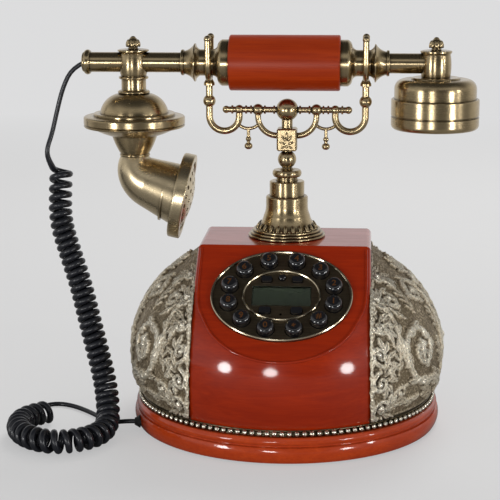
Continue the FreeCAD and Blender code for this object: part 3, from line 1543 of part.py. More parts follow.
def rounded_route(points, label):
    # Straight runs joined by tangent arcs, each as large as its two runs allow.
    edges = []
    radii = []
    here = points[0]
    for before, corner, after in zip(points, points[1:], points[2:]):
        back = (before - corner)
        ahead = (after - corner)
        half_turn = (math.pi - back.getAngle(ahead)) / 2
        reach = 0.45 * min(back.Length, ahead.Length)
        radii.append(reach / math.tan(half_turn))
        back.normalize()
        ahead.normalize()
        enter = corner + back * reach
        leave = corner + ahead * reach
        inward = (back + ahead).normalize()
        middle = corner + inward * (radii[-1] / math.cos(half_turn) - radii[-1])
        edges.append(line(here, enter))
        edges.append(arc(enter, middle, leave))
        here = leave
    edges.append(line(here, points[-1]))
    print(label, "radii", " ".join("%.0f" % radius for radius in radii))
    return edges


def report_tube(name, edges, diameter):
    length = sum(edge.Length for edge in edges)
    wanted = math.pi * diameter ** 2 / 4 * length
    print(name, "length %.1f" % length, "volume share %.4f" % (nodes[name].Volume / wanted))


def curl_pitch(distance):
    # Pitch along the curls: stretched at the top, close while hanging, a little open on the table.
    if distance < curl_stretched_length:
        share = distance / curl_stretched_length
        return curl_pitch_top + (curl_pitch_hanging - curl_pitch_top) * share
    if distance < curl_hanging_length:
        return curl_pitch_hanging
    return curl_pitch_lying


def curl_frames(edges, steps):
    # Points along the middle of the curls with a frame that is carried along without twist.
    path = Part.Wire(edges)
    points = path.discretize(Number=steps + 1)
    headings = []
    for i in range(steps + 1):
        headings.append((points[min(i + 1, steps)] - points[max(i - 1, 0)]).normalize())
    side = Vec(-1, 0, 0)
    frames = []
    for point, heading in zip(points, headings):
        side = (side - heading * side.dot(heading)).normalize()
        frames.append((point, heading, side, heading.cross(side)))
    return path.Length, frames


def curl_knots():
    # Places and headings a quarter turn apart along the helix; it starts at the left of the first turn
    # and ends at the bottom of the last.
    steps = curl_steps
    length, frames = curl_frames(rounded_route(curl_points, "curl middle"), steps)
    step = length / steps
    turn = [0.0]
    for i in range(steps):
        turn.append(turn[-1] + 2 * math.pi * step / curl_pitch((i + 0.5) * step))
    point, heading, side, up = frames[-1]
    end_turn = math.atan2(-up.z, -side.z)
    total = 2 * math.pi * round((turn[-1] - end_turn) / (2 * math.pi)) + end_turn
    stretch = total / turn[-1]
    quarters = round(total / (math.pi / 2))
    places = []
    for i, (point, heading, side, up) in enumerate(frames):
        angle = turn[i] * stretch
        places.append(point + (side * math.cos(angle) + up * math.sin(angle)) * curl_radius)
    knots = []
    i = 0
    for quarter in range(quarters + 1):
        wanted = total * quarter / quarters
        while i < steps and turn[i + 1] * stretch < wanted:
            i += 1
        if i < steps:
            share = (wanted / stretch - turn[i]) / (turn[i + 1] - turn[i])
            place = places[i] + (places[i + 1] - places[i]) * share
        else:
            place = places[steps]
        low = max(min(i, steps - 1), 0)
        knots.append((place, (places[low + 1] - places[low]).normalize()))
    print("curl turns %.2f" % (total / (2 * math.pi)))
    return knots


def least_gap(edges):
    # Smallest distance between stretches of one tube over half a turn apart, less its thickness.
    points = []
    for edge in edges:
        points += edge.discretize(Number=5)[:-1]
    reach = math.pi * curl_radius
    along = [0.0]
    for first, second in zip(points, points[1:]):
        along.append(along[-1] + (second - first).Length)
    cells = {}
    size = 2 * curl_wire
    for i, point in enumerate(points):
        cells.setdefault((int(point.x // size), int(point.y // size), int(point.z // size)), []).append(i)
    least = 1e9
    for (x, y, z), members in cells.items():
        near = []
        for dx in (-1, 0, 1):
            for dy in (-1, 0, 1):
                for dz in (-1, 0, 1):
                    near += cells.get((x + dx, y + dy, z + dz), [])
        for i in members:
            for j in near:
                if along[j] - along[i] > reach:
                    least = min(least, points[i].distanceToPoint(points[j]))
    return least - curl_wire


def make_cord():
    radius = cord_diameter / 2
    exit_point = Vec(end_x + cord_hole_depth - cord_diameter / 4, 0, handset_height)
    lead_route = rounded_route((exit_point,) + lead_points, "lead")
    nodes["cord_lead"] = swept(lead_route, radius)
    report_tube("cord_lead", lead_route, cord_diameter)

    lead_heading = (lead_points[-1] - lead_points[-2]).normalize()
    curl_start = lead_points[-1] + lead_heading * cord_diameter
    knots = curl_knots()
    edges = [line(lead_points[-1], curl_start)]
    edges += biarc(curl_start, lead_heading, *knots[0])
    for first, second in zip(knots, knots[1:]):
        edges += biarc(*first, *second)
    last_place, last_heading = knots[-1]
    curl_end = last_place + last_heading * cord_diameter
    edges.append(line(last_place, curl_end))
    nodes["cord_curl"] = swept(edges, curl_wire / 2)
    report_tube("cord_curl", edges, curl_wire)
    lowest = nodes["cord_curl"].optimalBoundingBox(True, False).ZMin
    print("curl least gap %.2f" % least_gap(edges), "lowest %.2f" % lowest)

    tail_end = Vec(grommet_face - grommet_flange_length, grommet_side, grommet_height)
    straight = 1.6 * cord_diameter
    tail_start = curl_end + last_heading * straight
    tail_last = tail_end - Vec(straight, 0, 0)
    tail_route = rounded_route((curl_end, tail_start) + tail_points + (tail_last, tail_end), "tail")
    nodes["cord_tail"] = swept(tail_route, radius)
    report_tube("cord_tail", tail_route, cord_diameter)

    grommet_back = grommet_flange_length + grommet_recess
    nodes["cord_grommet"] = turned((
        (0, 0), (radius + grommet_lip, 0),
        (grommet_flange_radius - grommet_flange_edge, 0.7 * grommet_flange_length),
        (grommet_flange_radius, grommet_flange_length), (grommet_flange_radius, grommet_back),
        (grommet_radius, grommet_back), (grommet_radius, grommet_length), (0, grommet_length),
    ), tail_end, Vec(1, 0, 0))


make_plinth()
make_base_plate()
make_line_jack()
make_bead_ring()
make_body()
make_panels()
make_keypad()
make_keys()
make_column()
make_hook_switch()
make_stem()
make_cradle_frame()
make_forks()
make_spring()
make_handset_bar()
make_mouth_tee()
make_transmitter()
make_horn()
make_ear()
make_cord()

os.makedirs("parts", exist_ok=True)
for name, shape in nodes.items():
    if not shape.isValid():
        print("not valid:", name)
    shape.exportStep("parts/" + name + ".step")
print(len(nodes), "nodes")
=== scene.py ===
import math

import bmesh
import bpy
import numpy as np
from mathutils import Matrix, Quaternion, Vector


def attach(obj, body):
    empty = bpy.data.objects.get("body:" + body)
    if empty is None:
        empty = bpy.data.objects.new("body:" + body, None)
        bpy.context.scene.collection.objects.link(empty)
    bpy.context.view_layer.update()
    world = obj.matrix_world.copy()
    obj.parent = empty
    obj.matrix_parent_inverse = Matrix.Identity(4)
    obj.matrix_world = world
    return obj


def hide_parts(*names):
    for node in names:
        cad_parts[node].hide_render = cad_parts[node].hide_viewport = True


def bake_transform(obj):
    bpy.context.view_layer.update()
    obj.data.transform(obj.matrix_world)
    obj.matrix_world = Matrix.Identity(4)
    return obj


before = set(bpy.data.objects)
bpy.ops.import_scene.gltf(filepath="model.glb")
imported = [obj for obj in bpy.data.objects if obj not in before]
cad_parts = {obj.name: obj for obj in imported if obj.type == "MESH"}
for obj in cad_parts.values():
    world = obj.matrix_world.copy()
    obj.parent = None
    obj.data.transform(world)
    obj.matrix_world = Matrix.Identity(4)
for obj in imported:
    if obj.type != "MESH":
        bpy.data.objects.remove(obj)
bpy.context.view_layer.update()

mm = 0.001
up = Vector((0, 0, 1))
fullTurn = 2 * math.pi
halvings = 40  # steps of a search by halves


# Small helpers

def setInputs(tree, node, inputs):
    for name, value in inputs.items():
        if isinstance(value, bpy.types.NodeSocket):
            tree.links.new(value, node.inputs[name])
        else:
            node.inputs[name].default_value = value


def addNode(tree, kind, inputs=None, **settings):
    node = tree.nodes.new(kind)
    for name, value in settings.items():
        setattr(node, name, value)
    setInputs(tree, node, inputs or {})
    return node


def mixColours(tree, factor, first, second):
    inputs = {0: factor}
    for index, colour in ((6, first), (7, second)):  # the mix node's two colour sockets
        inputs[index] = colour if isinstance(colour, bpy.types.NodeSocket) else (*colour, 1)
    return addNode(tree, "ShaderNodeMix", inputs, data_type="RGBA").outputs[2]


def combine(tree, operation, first, second):
    return addNode(tree, "ShaderNodeMath", {0: first, 1: second}, operation=operation).outputs[0]


def rescale(tree, value, low, high, fromLow=0.0, fromHigh=1.0):
    return addNode(tree, "ShaderNodeMapRange", {
        "Value": value, "From Min": fromLow, "From Max": fromHigh, "To Min": low, "To Max": high,
    }).outputs["Result"]


def ramp(tree, value, start, stop):
    # 0 up to start and 1 from stop on
    return rescale(tree, value, 0.0, 1.0, start, stop)


def noise(tree, place, scale, detail, roughness=0.5, distortion=0.0):
    return addNode(tree, "ShaderNodeTexNoise", {
        "Vector": place, "Scale": scale, "Detail": detail, "Roughness": roughness, "Distortion": distortion,
    }).outputs["Fac"]


def clearOfHollows(tree, reach, samples, fade):
    # 0 deep in a hollow and 1 in the open
    light = addNode(tree, "ShaderNodeAmbientOcclusion", {"Distance": reach * mm}, samples=samples)
    return ramp(tree, light.outputs["AO"], *fade)


def newGroup(name, vectors, values, outputs):
    group = bpy.data.node_groups.new(name, "ShaderNodeTree")
    for socketName in vectors:
        group.interface.new_socket(socketName, in_out="INPUT", socket_type="NodeSocketVector")
    for socketName in values:
        group.interface.new_socket(socketName, in_out="INPUT", socket_type="NodeSocketFloat")
    for socketName in outputs:
        group.interface.new_socket(socketName, in_out="OUTPUT", socket_type="NodeSocketFloat")
    return group, group.nodes.new("NodeGroupInput").outputs, group.nodes.new("NodeGroupOutput").inputs


def useGroup(tree, group, inputs):
    return addNode(tree, "ShaderNodeGroup", inputs, node_tree=group).outputs


def newMaterial(name):
    material = bpy.data.materials.new(name)
    material.use_nodes = True
    tree = material.node_tree
    return material, tree, tree.nodes["Principled BSDF"]


def objectPlace(tree):
    return tree.nodes.new("ShaderNodeTexCoord").outputs["Object"]


def addBump(tree, shader, height, depth, strength, roundEdge=0.0):
    bump = addNode(tree, "ShaderNodeBump", {"Height": height, "Distance": depth * mm, "Strength": strength})
    if roundEdge:
        edge = addNode(tree, "ShaderNodeBevel", {"Radius": roundEdge * mm}, samples=4)
        tree.links.new(edge.outputs["Normal"], bump.inputs["Normal"])
    tree.links.new(bump.outputs["Normal"], shader.inputs["Normal"])


def addObject(name, data):
    holder = bpy.data.objects.new(name, data)
    bpy.context.collection.objects.link(holder)
    return holder


def meshFrom(name, shape):
    mesh = bpy.data.meshes.new(name)
    shape.to_mesh(mesh)
    shape.free()
    return mesh


def showMesh(name, mesh, material):
    mesh.materials.clear()
    mesh.materials.append(material)
    mesh.shade_smooth()
    return addObject(name, mesh)


def finishPiece(name, mesh, material, body, replaced=()):
    piece = showMesh(name, mesh, material)
    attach(piece, body)
    if replaced:
        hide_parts(*replaced)
    return piece


def meshPiece(name, shape, material, body, replaced=()):
    return finishPiece(name, meshFrom(name, shape), material, body, replaced)


def lastTrue(low, high, test):
    # Where a test that holds at low stops holding on the way to high
    for i in range(halvings):
        middle = (low + high) / 2
        if test(middle):
            low = middle
        else:
            high = middle
    return low


# Camera at the photograph's place

camera = {
    "at": (52.0, -998.4, 322.0), "target": (-23.8, 0.0, 111.3), "roll": -0.12, "lens": 114.1, "sensor": 36.0,
    "clipEnd": 50.0,
}


def makeCamera():
    lens = bpy.data.cameras.new("photoCamera")
    lens.lens = camera["lens"]
    lens.sensor_width = camera["sensor"]
    lens.clip_end = camera["clipEnd"]
    eye = addObject("photoCamera", lens)
    eye.location = Vector(camera["at"]) * mm
    aim = (Vector(camera["target"]) - Vector(camera["at"])).normalized()
    tilt = Quaternion((0, 0, 1), math.radians(camera["roll"]))
    eye.rotation_euler = (aim.to_track_quat("-Z", "Y") @ tilt).to_euler()
    bpy.context.scene.camera = eye
    print("camera placed")


# Floor, world and lamps

studio = {
    "wall": (0.72, 0.72, 0.725), "worldFill": 0.36, "lampAim": (0, 0, 0.11),
    "roomDark": 0.05, "leftGlow": 0.95, "rightGlow": 0.6, "bandGlow": 0.7,
    "lowFade": (0.35, 0.78), "behindFade": (-0.1, 0.45), "leftFade": (-0.88, -0.5), "rightFade": (0.5, 0.88),
    "bandFoot": (0.42, 0.55), "bandHead": (0.70, 0.84), "bandFront": (-0.3, 0.1),
}
ground = {
    "size": 12.0, "dim": 0.55, "pale": 0.6, "farFade": (0.1, 1.6), "nearFade": (0.05, 0.5),
    "light": (0.80, 0.795, 0.785), "dark": (0.66, 0.65, 0.64), "clothMix": 0.10,
    "cloth": {"scale": 18.0, "detail": 6.0}, "roughness": 0.8, "specular": 0.1,
}
lamps = {
    "keyLeft": {"turn": -41, "rise": 1, "away": 1.5, "size": (0.25, 0.25), "watts": 5.0, "gloss": True},
    "keyFront": {"turn": -8, "rise": 1, "away": 1.7, "size": (0.28, 0.25), "watts": 4.5, "gloss": True},
    "keyRight": {"turn": 46, "rise": 1, "away": 1.5, "size": (0.25, 0.25), "watts": 4.5, "gloss": True},
    "sideRight": {"turn": 66, "rise": 9, "away": 1.5, "size": (0.10, 0.20), "watts": 2, "gloss": True},
    "topSoft": {"turn": 160, "rise": 50, "away": 1.7, "size": (1.1, 0.9), "watts": 15, "gloss": False},
}


def makeLamp(name, facts):
    lamp = bpy.data.lights.new(name, "AREA")
    lamp.shape = "ELLIPSE"
    lamp.size, lamp.size_y = facts["size"]
    lamp.energy = facts["watts"]
    holder = addObject(name, lamp)
    turn = math.radians(facts["turn"])
    rise = math.radians(facts["rise"])
    out = Vector((math.sin(turn) * math.cos(rise), -math.cos(turn) * math.cos(rise), math.sin(rise)))
    holder.location = Vector(studio["lampAim"]) + out * facts["away"]
    holder.rotation_euler = (-out).to_track_quat("-Z", "Y").to_euler()
    holder.visible_camera = False
    holder.visible_glossy = facts["gloss"]


def roomGlow(tree):
    # What gloss sees: pale walls behind and beside, a pale band high in front, and dark elsewhere
    place = tree.nodes.new("ShaderNodeTexCoord").outputs["Generated"]
    axes = addNode(tree, "ShaderNodeSeparateXYZ", {"Vector": place}).outputs
    low = rescale(tree, axes["Z"], 1.0, 0.0, *studio["lowFade"])
    behind = combine(tree, "MULTIPLY", ramp(tree, axes["Y"], *studio["behindFade"]), low)
    left = rescale(tree, axes["X"], studio["leftGlow"], 0.0, *studio["leftFade"])
    right = rescale(tree, axes["X"], 0.0, studio["rightGlow"], *studio["rightFade"])
    beside = combine(tree, "MULTIPLY", combine(tree, "MAXIMUM", left, right), low)
    foot = ramp(tree, axes["Z"], *studio["bandFoot"])
    head = rescale(tree, axes["Z"], 1.0, 0.0, *studio["bandHead"])
    front = rescale(tree, axes["Y"], studio["bandGlow"], 0.0, *studio["bandFront"])
    band = combine(tree, "MULTIPLY", combine(tree, "MULTIPLY", foot, head), front)
    return combine(tree, "MAXIMUM", combine(tree, "MAXIMUM", behind, beside), band)


def makeWorld():
    world = bpy.data.worlds.new("studio")
    bpy.context.scene.world = world
    world.use_nodes = True
    tree = world.node_tree
    tree.nodes.clear()
    rays = tree.nodes.new("ShaderNodeLightPath").outputs
    room = mixColours(tree, roomGlow(tree), [studio["roomDark"]] * 3, studio["wall"])
    seen = combine(tree, "MAXIMUM", rays["Is Camera Ray"], rays["Is Transmission Ray"])
    glossy = mixColours(tree, rays["Is Glossy Ray"], [studio["worldFill"]] * 3, room)
    colour = mixColours(tree, seen, glossy, studio["wall"])
    light = addNode(tree, "ShaderNodeBackground", {"Color": colour, "Strength": 1.0})
    output = tree.nodes.new("ShaderNodeOutputWorld")
    tree.links.new(light.outputs[0], output.inputs["Surface"])


def makeFloor():
    material, tree, shader = newMaterial("paleFloor")
    place = objectPlace(tree)
    back = addNode(tree, "ShaderNodeSeparateXYZ", {"Vector": place}).outputs["Y"]
    far = ramp(tree, back, *ground["farFade"])
    near = rescale(tree, back, ground["dim"], 0.0, *ground["nearFade"])
    weave = rescale(tree, noise(tree, place, **ground["cloth"]), 0.0, ground["clothMix"])
    setInputs(tree, shader, {
        "Base Color": mixColours(tree, weave, ground["light"], ground["dark"]),
        "Roughness": ground["roughness"], "Specular IOR Level": ground["specular"],
    })
    rays = tree.nodes.new("ShaderNodeLightPath").outputs
    seen = combine(tree, "MAXIMUM", rays["Is Camera Ray"], rays["Is Glossy Ray"])
    seen = combine(tree, "MAXIMUM", seen, rays["Is Transmission Ray"])
    pale = combine(tree, "MULTIPLY", rays["Is Camera Ray"], ground["pale"])
    pale = combine(tree, "MAXIMUM", pale, combine(tree, "MULTIPLY", seen, far))
    glow = addNode(tree, "ShaderNodeEmission", {"Color": (*studio["wall"], 1), "Strength": 1.0})
    mixed = addNode(tree, "ShaderNodeMixShader", {0: pale, 1: shader.outputs[0], 2: glow.outputs[0]})
    bounced = combine(tree, "MAXIMUM", rays["Is Glossy Ray"], rays["Is Diffuse Ray"])
    dark = addNode(tree, "ShaderNodeEmission", {"Color": (0, 0, 0, 1), "Strength": 0.0})
    low = combine(tree, "MULTIPLY", bounced, near)
    mixed = addNode(tree, "ShaderNodeMixShader", {0: low, 1: mixed.outputs[0], 2: dark.outputs[0]})
    tree.links.new(mixed.outputs[0], tree.nodes["Material Output"].inputs["Surface"])
    shape = bmesh.new()
    bmesh.ops.create_grid(shape, x_segments=1, y_segments=1, size=ground["size"])
    floor = showMesh("floor", meshFrom("floor", shape), material)


def makeStudio():
    makeWorld()
    makeFloor()
    for name, facts in lamps.items():
        makeLamp(name, facts)
    bpy.context.scene.view_settings.view_transform = "Standard"
    print("studio lit")


# Shared effects

def stretched(group, given):
    return addNode(group, "ShaderNodeVectorMath", {0: given["Vector"], 1: given["Stretch"]},
                   operation="MULTIPLY").outputs[0]


def makeGrain():
    group, given, put = newGroup("woodGrain", ("Vector", "Stretch"), (), ("Streak", "Cloud"))
    place = stretched(group, given)
    fine = noise(group, place, scale=900.0, detail=4.0, roughness=0.6, distortion=0.4)
    broad = noise(group, place, scale=160.0, detail=2.0, distortion=0.6)
    cloud = noise(group, given["Vector"], scale=22.0, detail=3.0)
    streak = combine(group, "MULTIPLY", fine, broad)
    group.links.new(ramp(group, streak, 0.12, 0.42), put["Streak"])
    group.links.new(ramp(group, cloud, 0.3, 0.7), put["Cloud"])
    return group


def makeBrushing():
    group, given, put = newGroup("brushedLines", ("Vector", "Stretch"), (), ("Line", "Patch"))
    line = noise(group, stretched(group, given), scale=1.0, detail=5.0, roughness=0.65)
    patch = noise(group, given["Vector"], scale=70.0, detail=5.0, roughness=0.6)
    group.links.new(ramp(group, line, 0.3, 0.7), put["Line"])
    group.links.new(ramp(group, patch, 0.34, 0.66), put["Patch"])
    return group


def makeSpeckle():
    group, given, put = newGroup("fineSpeckle", ("Vector",), ("Scale",), ("Speck", "Mottle"))
    speck = noise(group, given["Vector"], given["Scale"], detail=3.0, roughness=0.7)
    coarse = combine(group, "MULTIPLY", given["Scale"], 0.08)
    mottle = noise(group, given["Vector"], coarse, detail=4.0)
    group.links.new(ramp(group, speck, 0.3, 0.7), put["Speck"])
    group.links.new(ramp(group, mottle, 0.3, 0.7), put["Mottle"])
    return group


grain = makeGrain()
brushing = makeBrushing()
speckle = makeSpeckle()


# Finishes

lacquer = {
    "cloudDark": 0.6, "cloudMix": 0.45, "roughMore": 0.08, "roughLess": 0.05, "specular": 0.08,
    "coatIor": 1.4, "bump": {"depth": 0.02, "strength": 0.5, "roundEdge": 0.8},
}
brass = {
    "light": (0.50, 0.39, 0.225), "dark": (0.12, 0.078, 0.036), "roughness": 0.25, "edge": 0.35,
    "tone": (0.74, 1.0), "toneFrom": (0.4, 1.4),
    "roughMore": 0.05, "roughLess": 0.03, "roughFrom": (0.3, 1.6),
    "hollows": {"reach": 2.5, "samples": 4, "fade": (0.35, 0.95)}, "hollowDark": 0.35,
    "turned": {"Anisotropic": 0.7, "Anisotropic Rotation": 0.25}, "bump": {"depth": 0.012, "strength": 0.6},
}
plastic = {
    "lighter": 1.5, "lift": 0.003, "mottleMix": 0.3, "roughLess": 0.04, "roughMore": 0.06,
    "coatRoughness": 0.03, "bump": {"depth": 0.01, "strength": 0.4},
}
plate = {
    "faceDark": (0.09, 0.072, 0.045), "faceLight": (0.17, 0.135, 0.09), "faceRoughness": 0.46,
    "ringDark": (0.40, 0.33, 0.22), "ringLight": (0.66, 0.58, 0.43), "ringRoughness": 0.20,
    "polishFrom": 1.3, "polishAll": 0.8, "stretch": (90.0, 1400.0, 1400.0), "edge": 0.25,
}
keypad = {
    "slope": 41.5, "middle": (0.0, -61.21, 95.46), "numberSize": 5.6, "numberThick": 0.06, "numberRise": 0.02,
    "numberWeight": 0.12, "topWithin": 0.05,
}


def lacquerFinish(name, light, dark, roughness, coat, coatRoughness, stretch):
    material, tree, shader = newMaterial(name)
    made = useGroup(tree, grain, {"Vector": objectPlace(tree), "Stretch": stretch})
    colour = mixColours(tree, made["Streak"], dark, light)
    darker = mixColours(tree, lacquer["cloudDark"], colour, dark)
    cloud = rescale(tree, made["Cloud"], 0.0, lacquer["cloudMix"])
    rough = rescale(tree, made["Streak"], roughness + lacquer["roughMore"], roughness - lacquer["roughLess"])
    setInputs(tree, shader, {
        "Base Color": mixColours(tree, cloud, colour, darker), "Roughness": rough,
        "Specular IOR Level": lacquer["specular"],
        "Coat Weight": coat, "Coat Roughness": coatRoughness, "Coat IOR": lacquer["coatIor"],
    })
    addBump(tree, shader, made["Streak"], **lacquer["bump"])
    return material


def brassFinish(name, stretch, light=brass["light"], dark=brass["dark"], roughness=brass["roughness"],
                edge=brass["edge"], lathe=None):
    material, tree, shader = newMaterial(name)
    made = useGroup(tree, brushing, {"Vector": objectPlace(tree), "Stretch": stretch})
    clear = clearOfHollows(tree, **brass["hollows"])
    tone = combine(tree, "ADD", made["Line"], made["Patch"])
    colour = mixColours(tree, rescale(tree, tone, *brass["tone"], *brass["toneFrom"]), dark, light)
    colour = mixColours(tree, clear, [c * brass["hollowDark"] for c in dark], colour)
    rough = rescale(tree, tone, roughness + brass["roughMore"], roughness - brass["roughLess"],
                    *brass["roughFrom"])
    setInputs(tree, shader, {"Base Color": colour, "Metallic": 1.0, "Roughness": rough})
    if lathe:
        # Turned parts are brushed round their axis, which draws highlights out along it
        tangent = addNode(tree, "ShaderNodeTangent", direction_type="RADIAL", axis=lathe)
        setInputs(tree, shader, {"Tangent": tangent.outputs["Tangent"], **brass["turned"]})
    addBump(tree, shader, made["Line"], roundEdge=edge, **brass["bump"])
    return material


def slopeAxes():
    slope = math.radians(keypad["slope"])
    out = Vector((0, -math.sin(slope), math.cos(slope)))
    upSlope = Vector((0, math.cos(slope), math.sin(slope)))
    return out, upSlope


def plateFinish():
    # Satin bronze face, with the raised rings polished bright
    material, tree, shader = newMaterial("bronzePlate")
    out = slopeAxes()[0]
    high = max(v.co.dot(out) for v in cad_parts["keypad_plate"].data.vertices)
    place = objectPlace(tree)
    rise = addNode(tree, "ShaderNodeVectorMath", {0: place, 1: out}, operation="DOT_PRODUCT").outputs["Value"]
    polished = ramp(tree, rise, high - plate["polishFrom"] * mm, high - plate["polishAll"] * mm)
    made = useGroup(tree, brushing, {"Vector": place, "Stretch": plate["stretch"]})
    face = mixColours(tree, made["Line"], plate["faceDark"], plate["faceLight"])
    ring = mixColours(tree, made["Patch"], plate["ringDark"], plate["ringLight"])
    setInputs(tree, shader, {
        "Base Color": mixColours(tree, polished, face, ring), "Metallic": 1.0,
        "Roughness": rescale(tree, polished, plate["faceRoughness"], plate["ringRoughness"]),
    })
    addBump(tree, shader, made["Line"], roundEdge=plate["edge"], **brass["bump"])
    return material


def plasticFinish(name, colour, roughness, grainScale=2500.0, coat=0.0):
    material, tree, shader = newMaterial(name)
    made = useGroup(tree, speckle, {"Vector": objectPlace(tree), "Scale": grainScale})
    lighter = [c * plastic["lighter"] + plastic["lift"] for c in colour]
    mottle = rescale(tree, made["Mottle"], 0.0, plastic["mottleMix"])
    rough = rescale(tree, made["Speck"], roughness - plastic["roughLess"], roughness + plastic["roughMore"])
    setInputs(tree, shader, {
        "Base Color": mixColours(tree, mottle, colour, lighter), "Roughness": rough,
        "Coat Weight": coat, "Coat Roughness": plastic["coatRoughness"],
    })
    addBump(tree, shader, made["Speck"], **plastic["bump"])
    return material


def glassFinish():
    material, tree, shader = newMaterial("displayGlass")
    made = useGroup(tree, speckle, {"Vector": objectPlace(tree), "Scale": 900.0})
    setInputs(tree, shader, {
        "Base Color": (0.86, 0.92, 0.86, 1), "Transmission Weight": 1.0, "IOR": 1.2,
        "Roughness": rescale(tree, made["Mottle"], 0.02, 0.06),
    })
    return material


evenBrush = (900.0, 900.0, 900.0)
redWood = lacquerFinish("redWood", light=(0.40, 0.028, 0.002), dark=(0.27, 0.015, 0.001), roughness=0.36,
                        coat=1.0, coatRoughness=0.09, stretch=(0.06, 0.5, 1.0))
redPlinth = lacquerFinish("redPlinth", light=(0.54, 0.062, 0.009), dark=(0.40, 0.038, 0.005), roughness=0.36,
                          coat=1.0, coatRoughness=0.08, stretch=(0.5, 0.06, 1.0))
redGrip = lacquerFinish("redGrip", light=(0.44, 0.044, 0.003), dark=(0.29, 0.022, 0.001), roughness=0.42,
                        coat=0.45, coatRoughness=0.34, stretch=(0.04, 1.0, 1.0))
brassUpright = brassFinish("brassUpright", (60.0, 60.0, 4200.0), lathe="Z")
brassAlong = brassFinish("brassAlong", (4200.0, 60.0, 60.0), lathe="X")
brassHorn = brassFinish("brassHorn", (300.0, 1500.0, 900.0), light=(0.68, 0.56, 0.36), roughness=0.27)
brassSmall = brassFinish("brassSmall", evenBrush, roughness=0.24, edge=0.2)
bronzePlate = plateFinish()
blackGloss = plasticFinish("blackGloss", (0.006, 0.006, 0.008), roughness=0.14, grainScale=1800.0, coat=1.0)
blackPlastic = plasticFinish("blackPlastic", (0.012, 0.012, 0.013), roughness=0.48)
blackRubber = plasticFinish("blackRubber", (0.013, 0.013, 0.013), roughness=0.62)
circuitGreen = plasticFinish("circuitGreen", (0.012, 0.07, 0.028), roughness=0.42)
displayGreen = plasticFinish("displayGreen", (0.028, 0.037, 0.019), roughness=0.4, grainScale=1200.0)
darkBrass = brassFinish("darkBrass", evenBrush, light=(0.30, 0.24, 0.15), dark=(0.09, 0.06, 0.03),
                        roughness=0.3, edge=0.0)
beadBrass = brassFinish("beadBrass", evenBrush, light=(0.80, 0.74, 0.62), dark=(0.34, 0.28, 0.20),
                        roughness=0.24, edge=0.0)
steelFinish = brassFinish("steelFinish", evenBrush, light=(0.5, 0.5, 0.5), dark=(0.25, 0.25, 0.26),
                          roughness=0.3, edge=0.0)
displayGlass = glassFinish()
cordBlack = plasticFinish("cordBlack", (0.010, 0.011, 0.015), roughness=0.30, grainScale=1600.0)

carried = {
    redWood: ("body_shell",),
    redPlinth: ("plinth",),
    redGrip: ("grip_sleeve",),
    brassUpright: (
        "column_bell", "column_sleeve", "cradle_stem", "mouth_tee", "transmitter_dome", "transmitter_bowl",
        "ear_tee", "ear_dome", "ear_cap", "finials", "bead_ring", "relief_panel_left", "relief_panel_right",
    ),
    brassHorn: ("horn_elbow", "mouth_cap"),
    brassAlong: ("handset_tube", "ferrules", "end_cap"),
    brassSmall: ("cradle_frame", "cradle_forks"),
    bronzePlate: ("keypad_plate",),
    blackPlastic: ("base_plate", "line_jack", "hook_switch", "ringer", "microphone", "receiver"),
    blackRubber: ("foot_ring", "cord_grommet", "keypad_mat"),
    circuitGreen: ("main_board", "keypad_board"),
    displayGreen: ("display_module",),
    steelFinish: ("base_screws", "column_nut", "hook_spring"),
    displayGlass: ("display_window",),
}


def dressNodes():
    wanted = {name: material for material, names in carried.items() for name in names}
    for name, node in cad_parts.items():
        material = wanted.get(name, blackGloss if name.startswith("key_") else None)
        if material:
            for slot in node.material_slots:
                slot.material = material
    print("nodes dressed")


# Curly cord from the handset's left end to the plinth

cord = {
    "diameter": 4.2, "plain": 3.0, "curlRadius": 5.7, "pitchTop": 7.4, "pitchHanging": 4.8, "pitchLying": 6.2,
    "stretched": 38.0, "hanging": 155.0, "perTurn": 14, "sides": 3, "middleSteps": 60, "curveSteps": 4,
    "stillBelow": 40.0, "carriedFrom": 4.0, "exit": (-128.45, 0.0, 231.9), "end": (-95.04, -37.0, 6.2),
    "lead": (
        (-136.8, 0, 228.2), (-143.2, 0, 216), (-147.6, 0, 200), (-150.8, -1, 186),
        (-154.8, -4.2, 174.2),
    ),
    "curl": (
        (-145.6, 0, 163.5), (-145.8, -5, 147), (-145, -9.5, 130), (-139, -13, 112),
        (-131.5, -18, 92), (-125.5, -24, 71), (-119.5, -30, 51), (-114, -35, 32),
        (-110.5, -45, 15.5), (-109.5, -59, 8.5), (-114.5, -74, 8.2), (-125, -84, 8.2),
        (-138, -87.5, 8.2), (-151.5, -82, 8.2), (-163, -69, 8.2), (-167.5, -52, 8.2),
        (-164, -37, 8.2), (-153.5, -27.5, 8.2),
    ),
    "tail": (
        (-157.7, -20.9, 2.1), (-166, -6.5, 1.7), (-163.5, 5.5, 1.7), (-154, 11.5, 1.7), (-142.5, 6.5, 1.7),
        (-131, -4.5, 1.7), (-121.5, -16, 1.7), (-114.5, -27, 2.4), (-108, -35.4, 4.7),
        (-99.8, -37, 6.2),
    ),
}


def inMetres(points):
    return [Vector(p) * mm for p in points]


def smoothCurve(name, points, resolution, thickness=0.0, shares=None):
    curve = bpy.data.curves.new(name, "CURVE")
    curve.dimensions = "3D"
    curve.resolution_u = resolution
    curve.bevel_depth = thickness
    curve.bevel_resolution = cord["sides"]
    curve.use_fill_caps = thickness > 0
    spline = curve.splines.new("NURBS")
    spline.points.add(len(points) - 1)
    for knot, point, share in zip(spline.points, points, shares or [1.0] * len(points)):
        knot.co = (*point, 1)
        knot.radius = share
    spline.order_u = 3
    spline.use_endpoint_u = True
    return curve


def curveMesh(curve):
    holder = addObject(curve.name, curve)
    bpy.context.view_layer.update()
    mesh = bpy.data.meshes.new_from_object(holder.evaluated_get(bpy.context.evaluated_depsgraph_get()))
    bpy.data.objects.remove(holder)
    return mesh


def curvePoints(name, points, resolution):
    return [v.co.copy() for v in curveMesh(smoothCurve(name, points, resolution)).vertices]


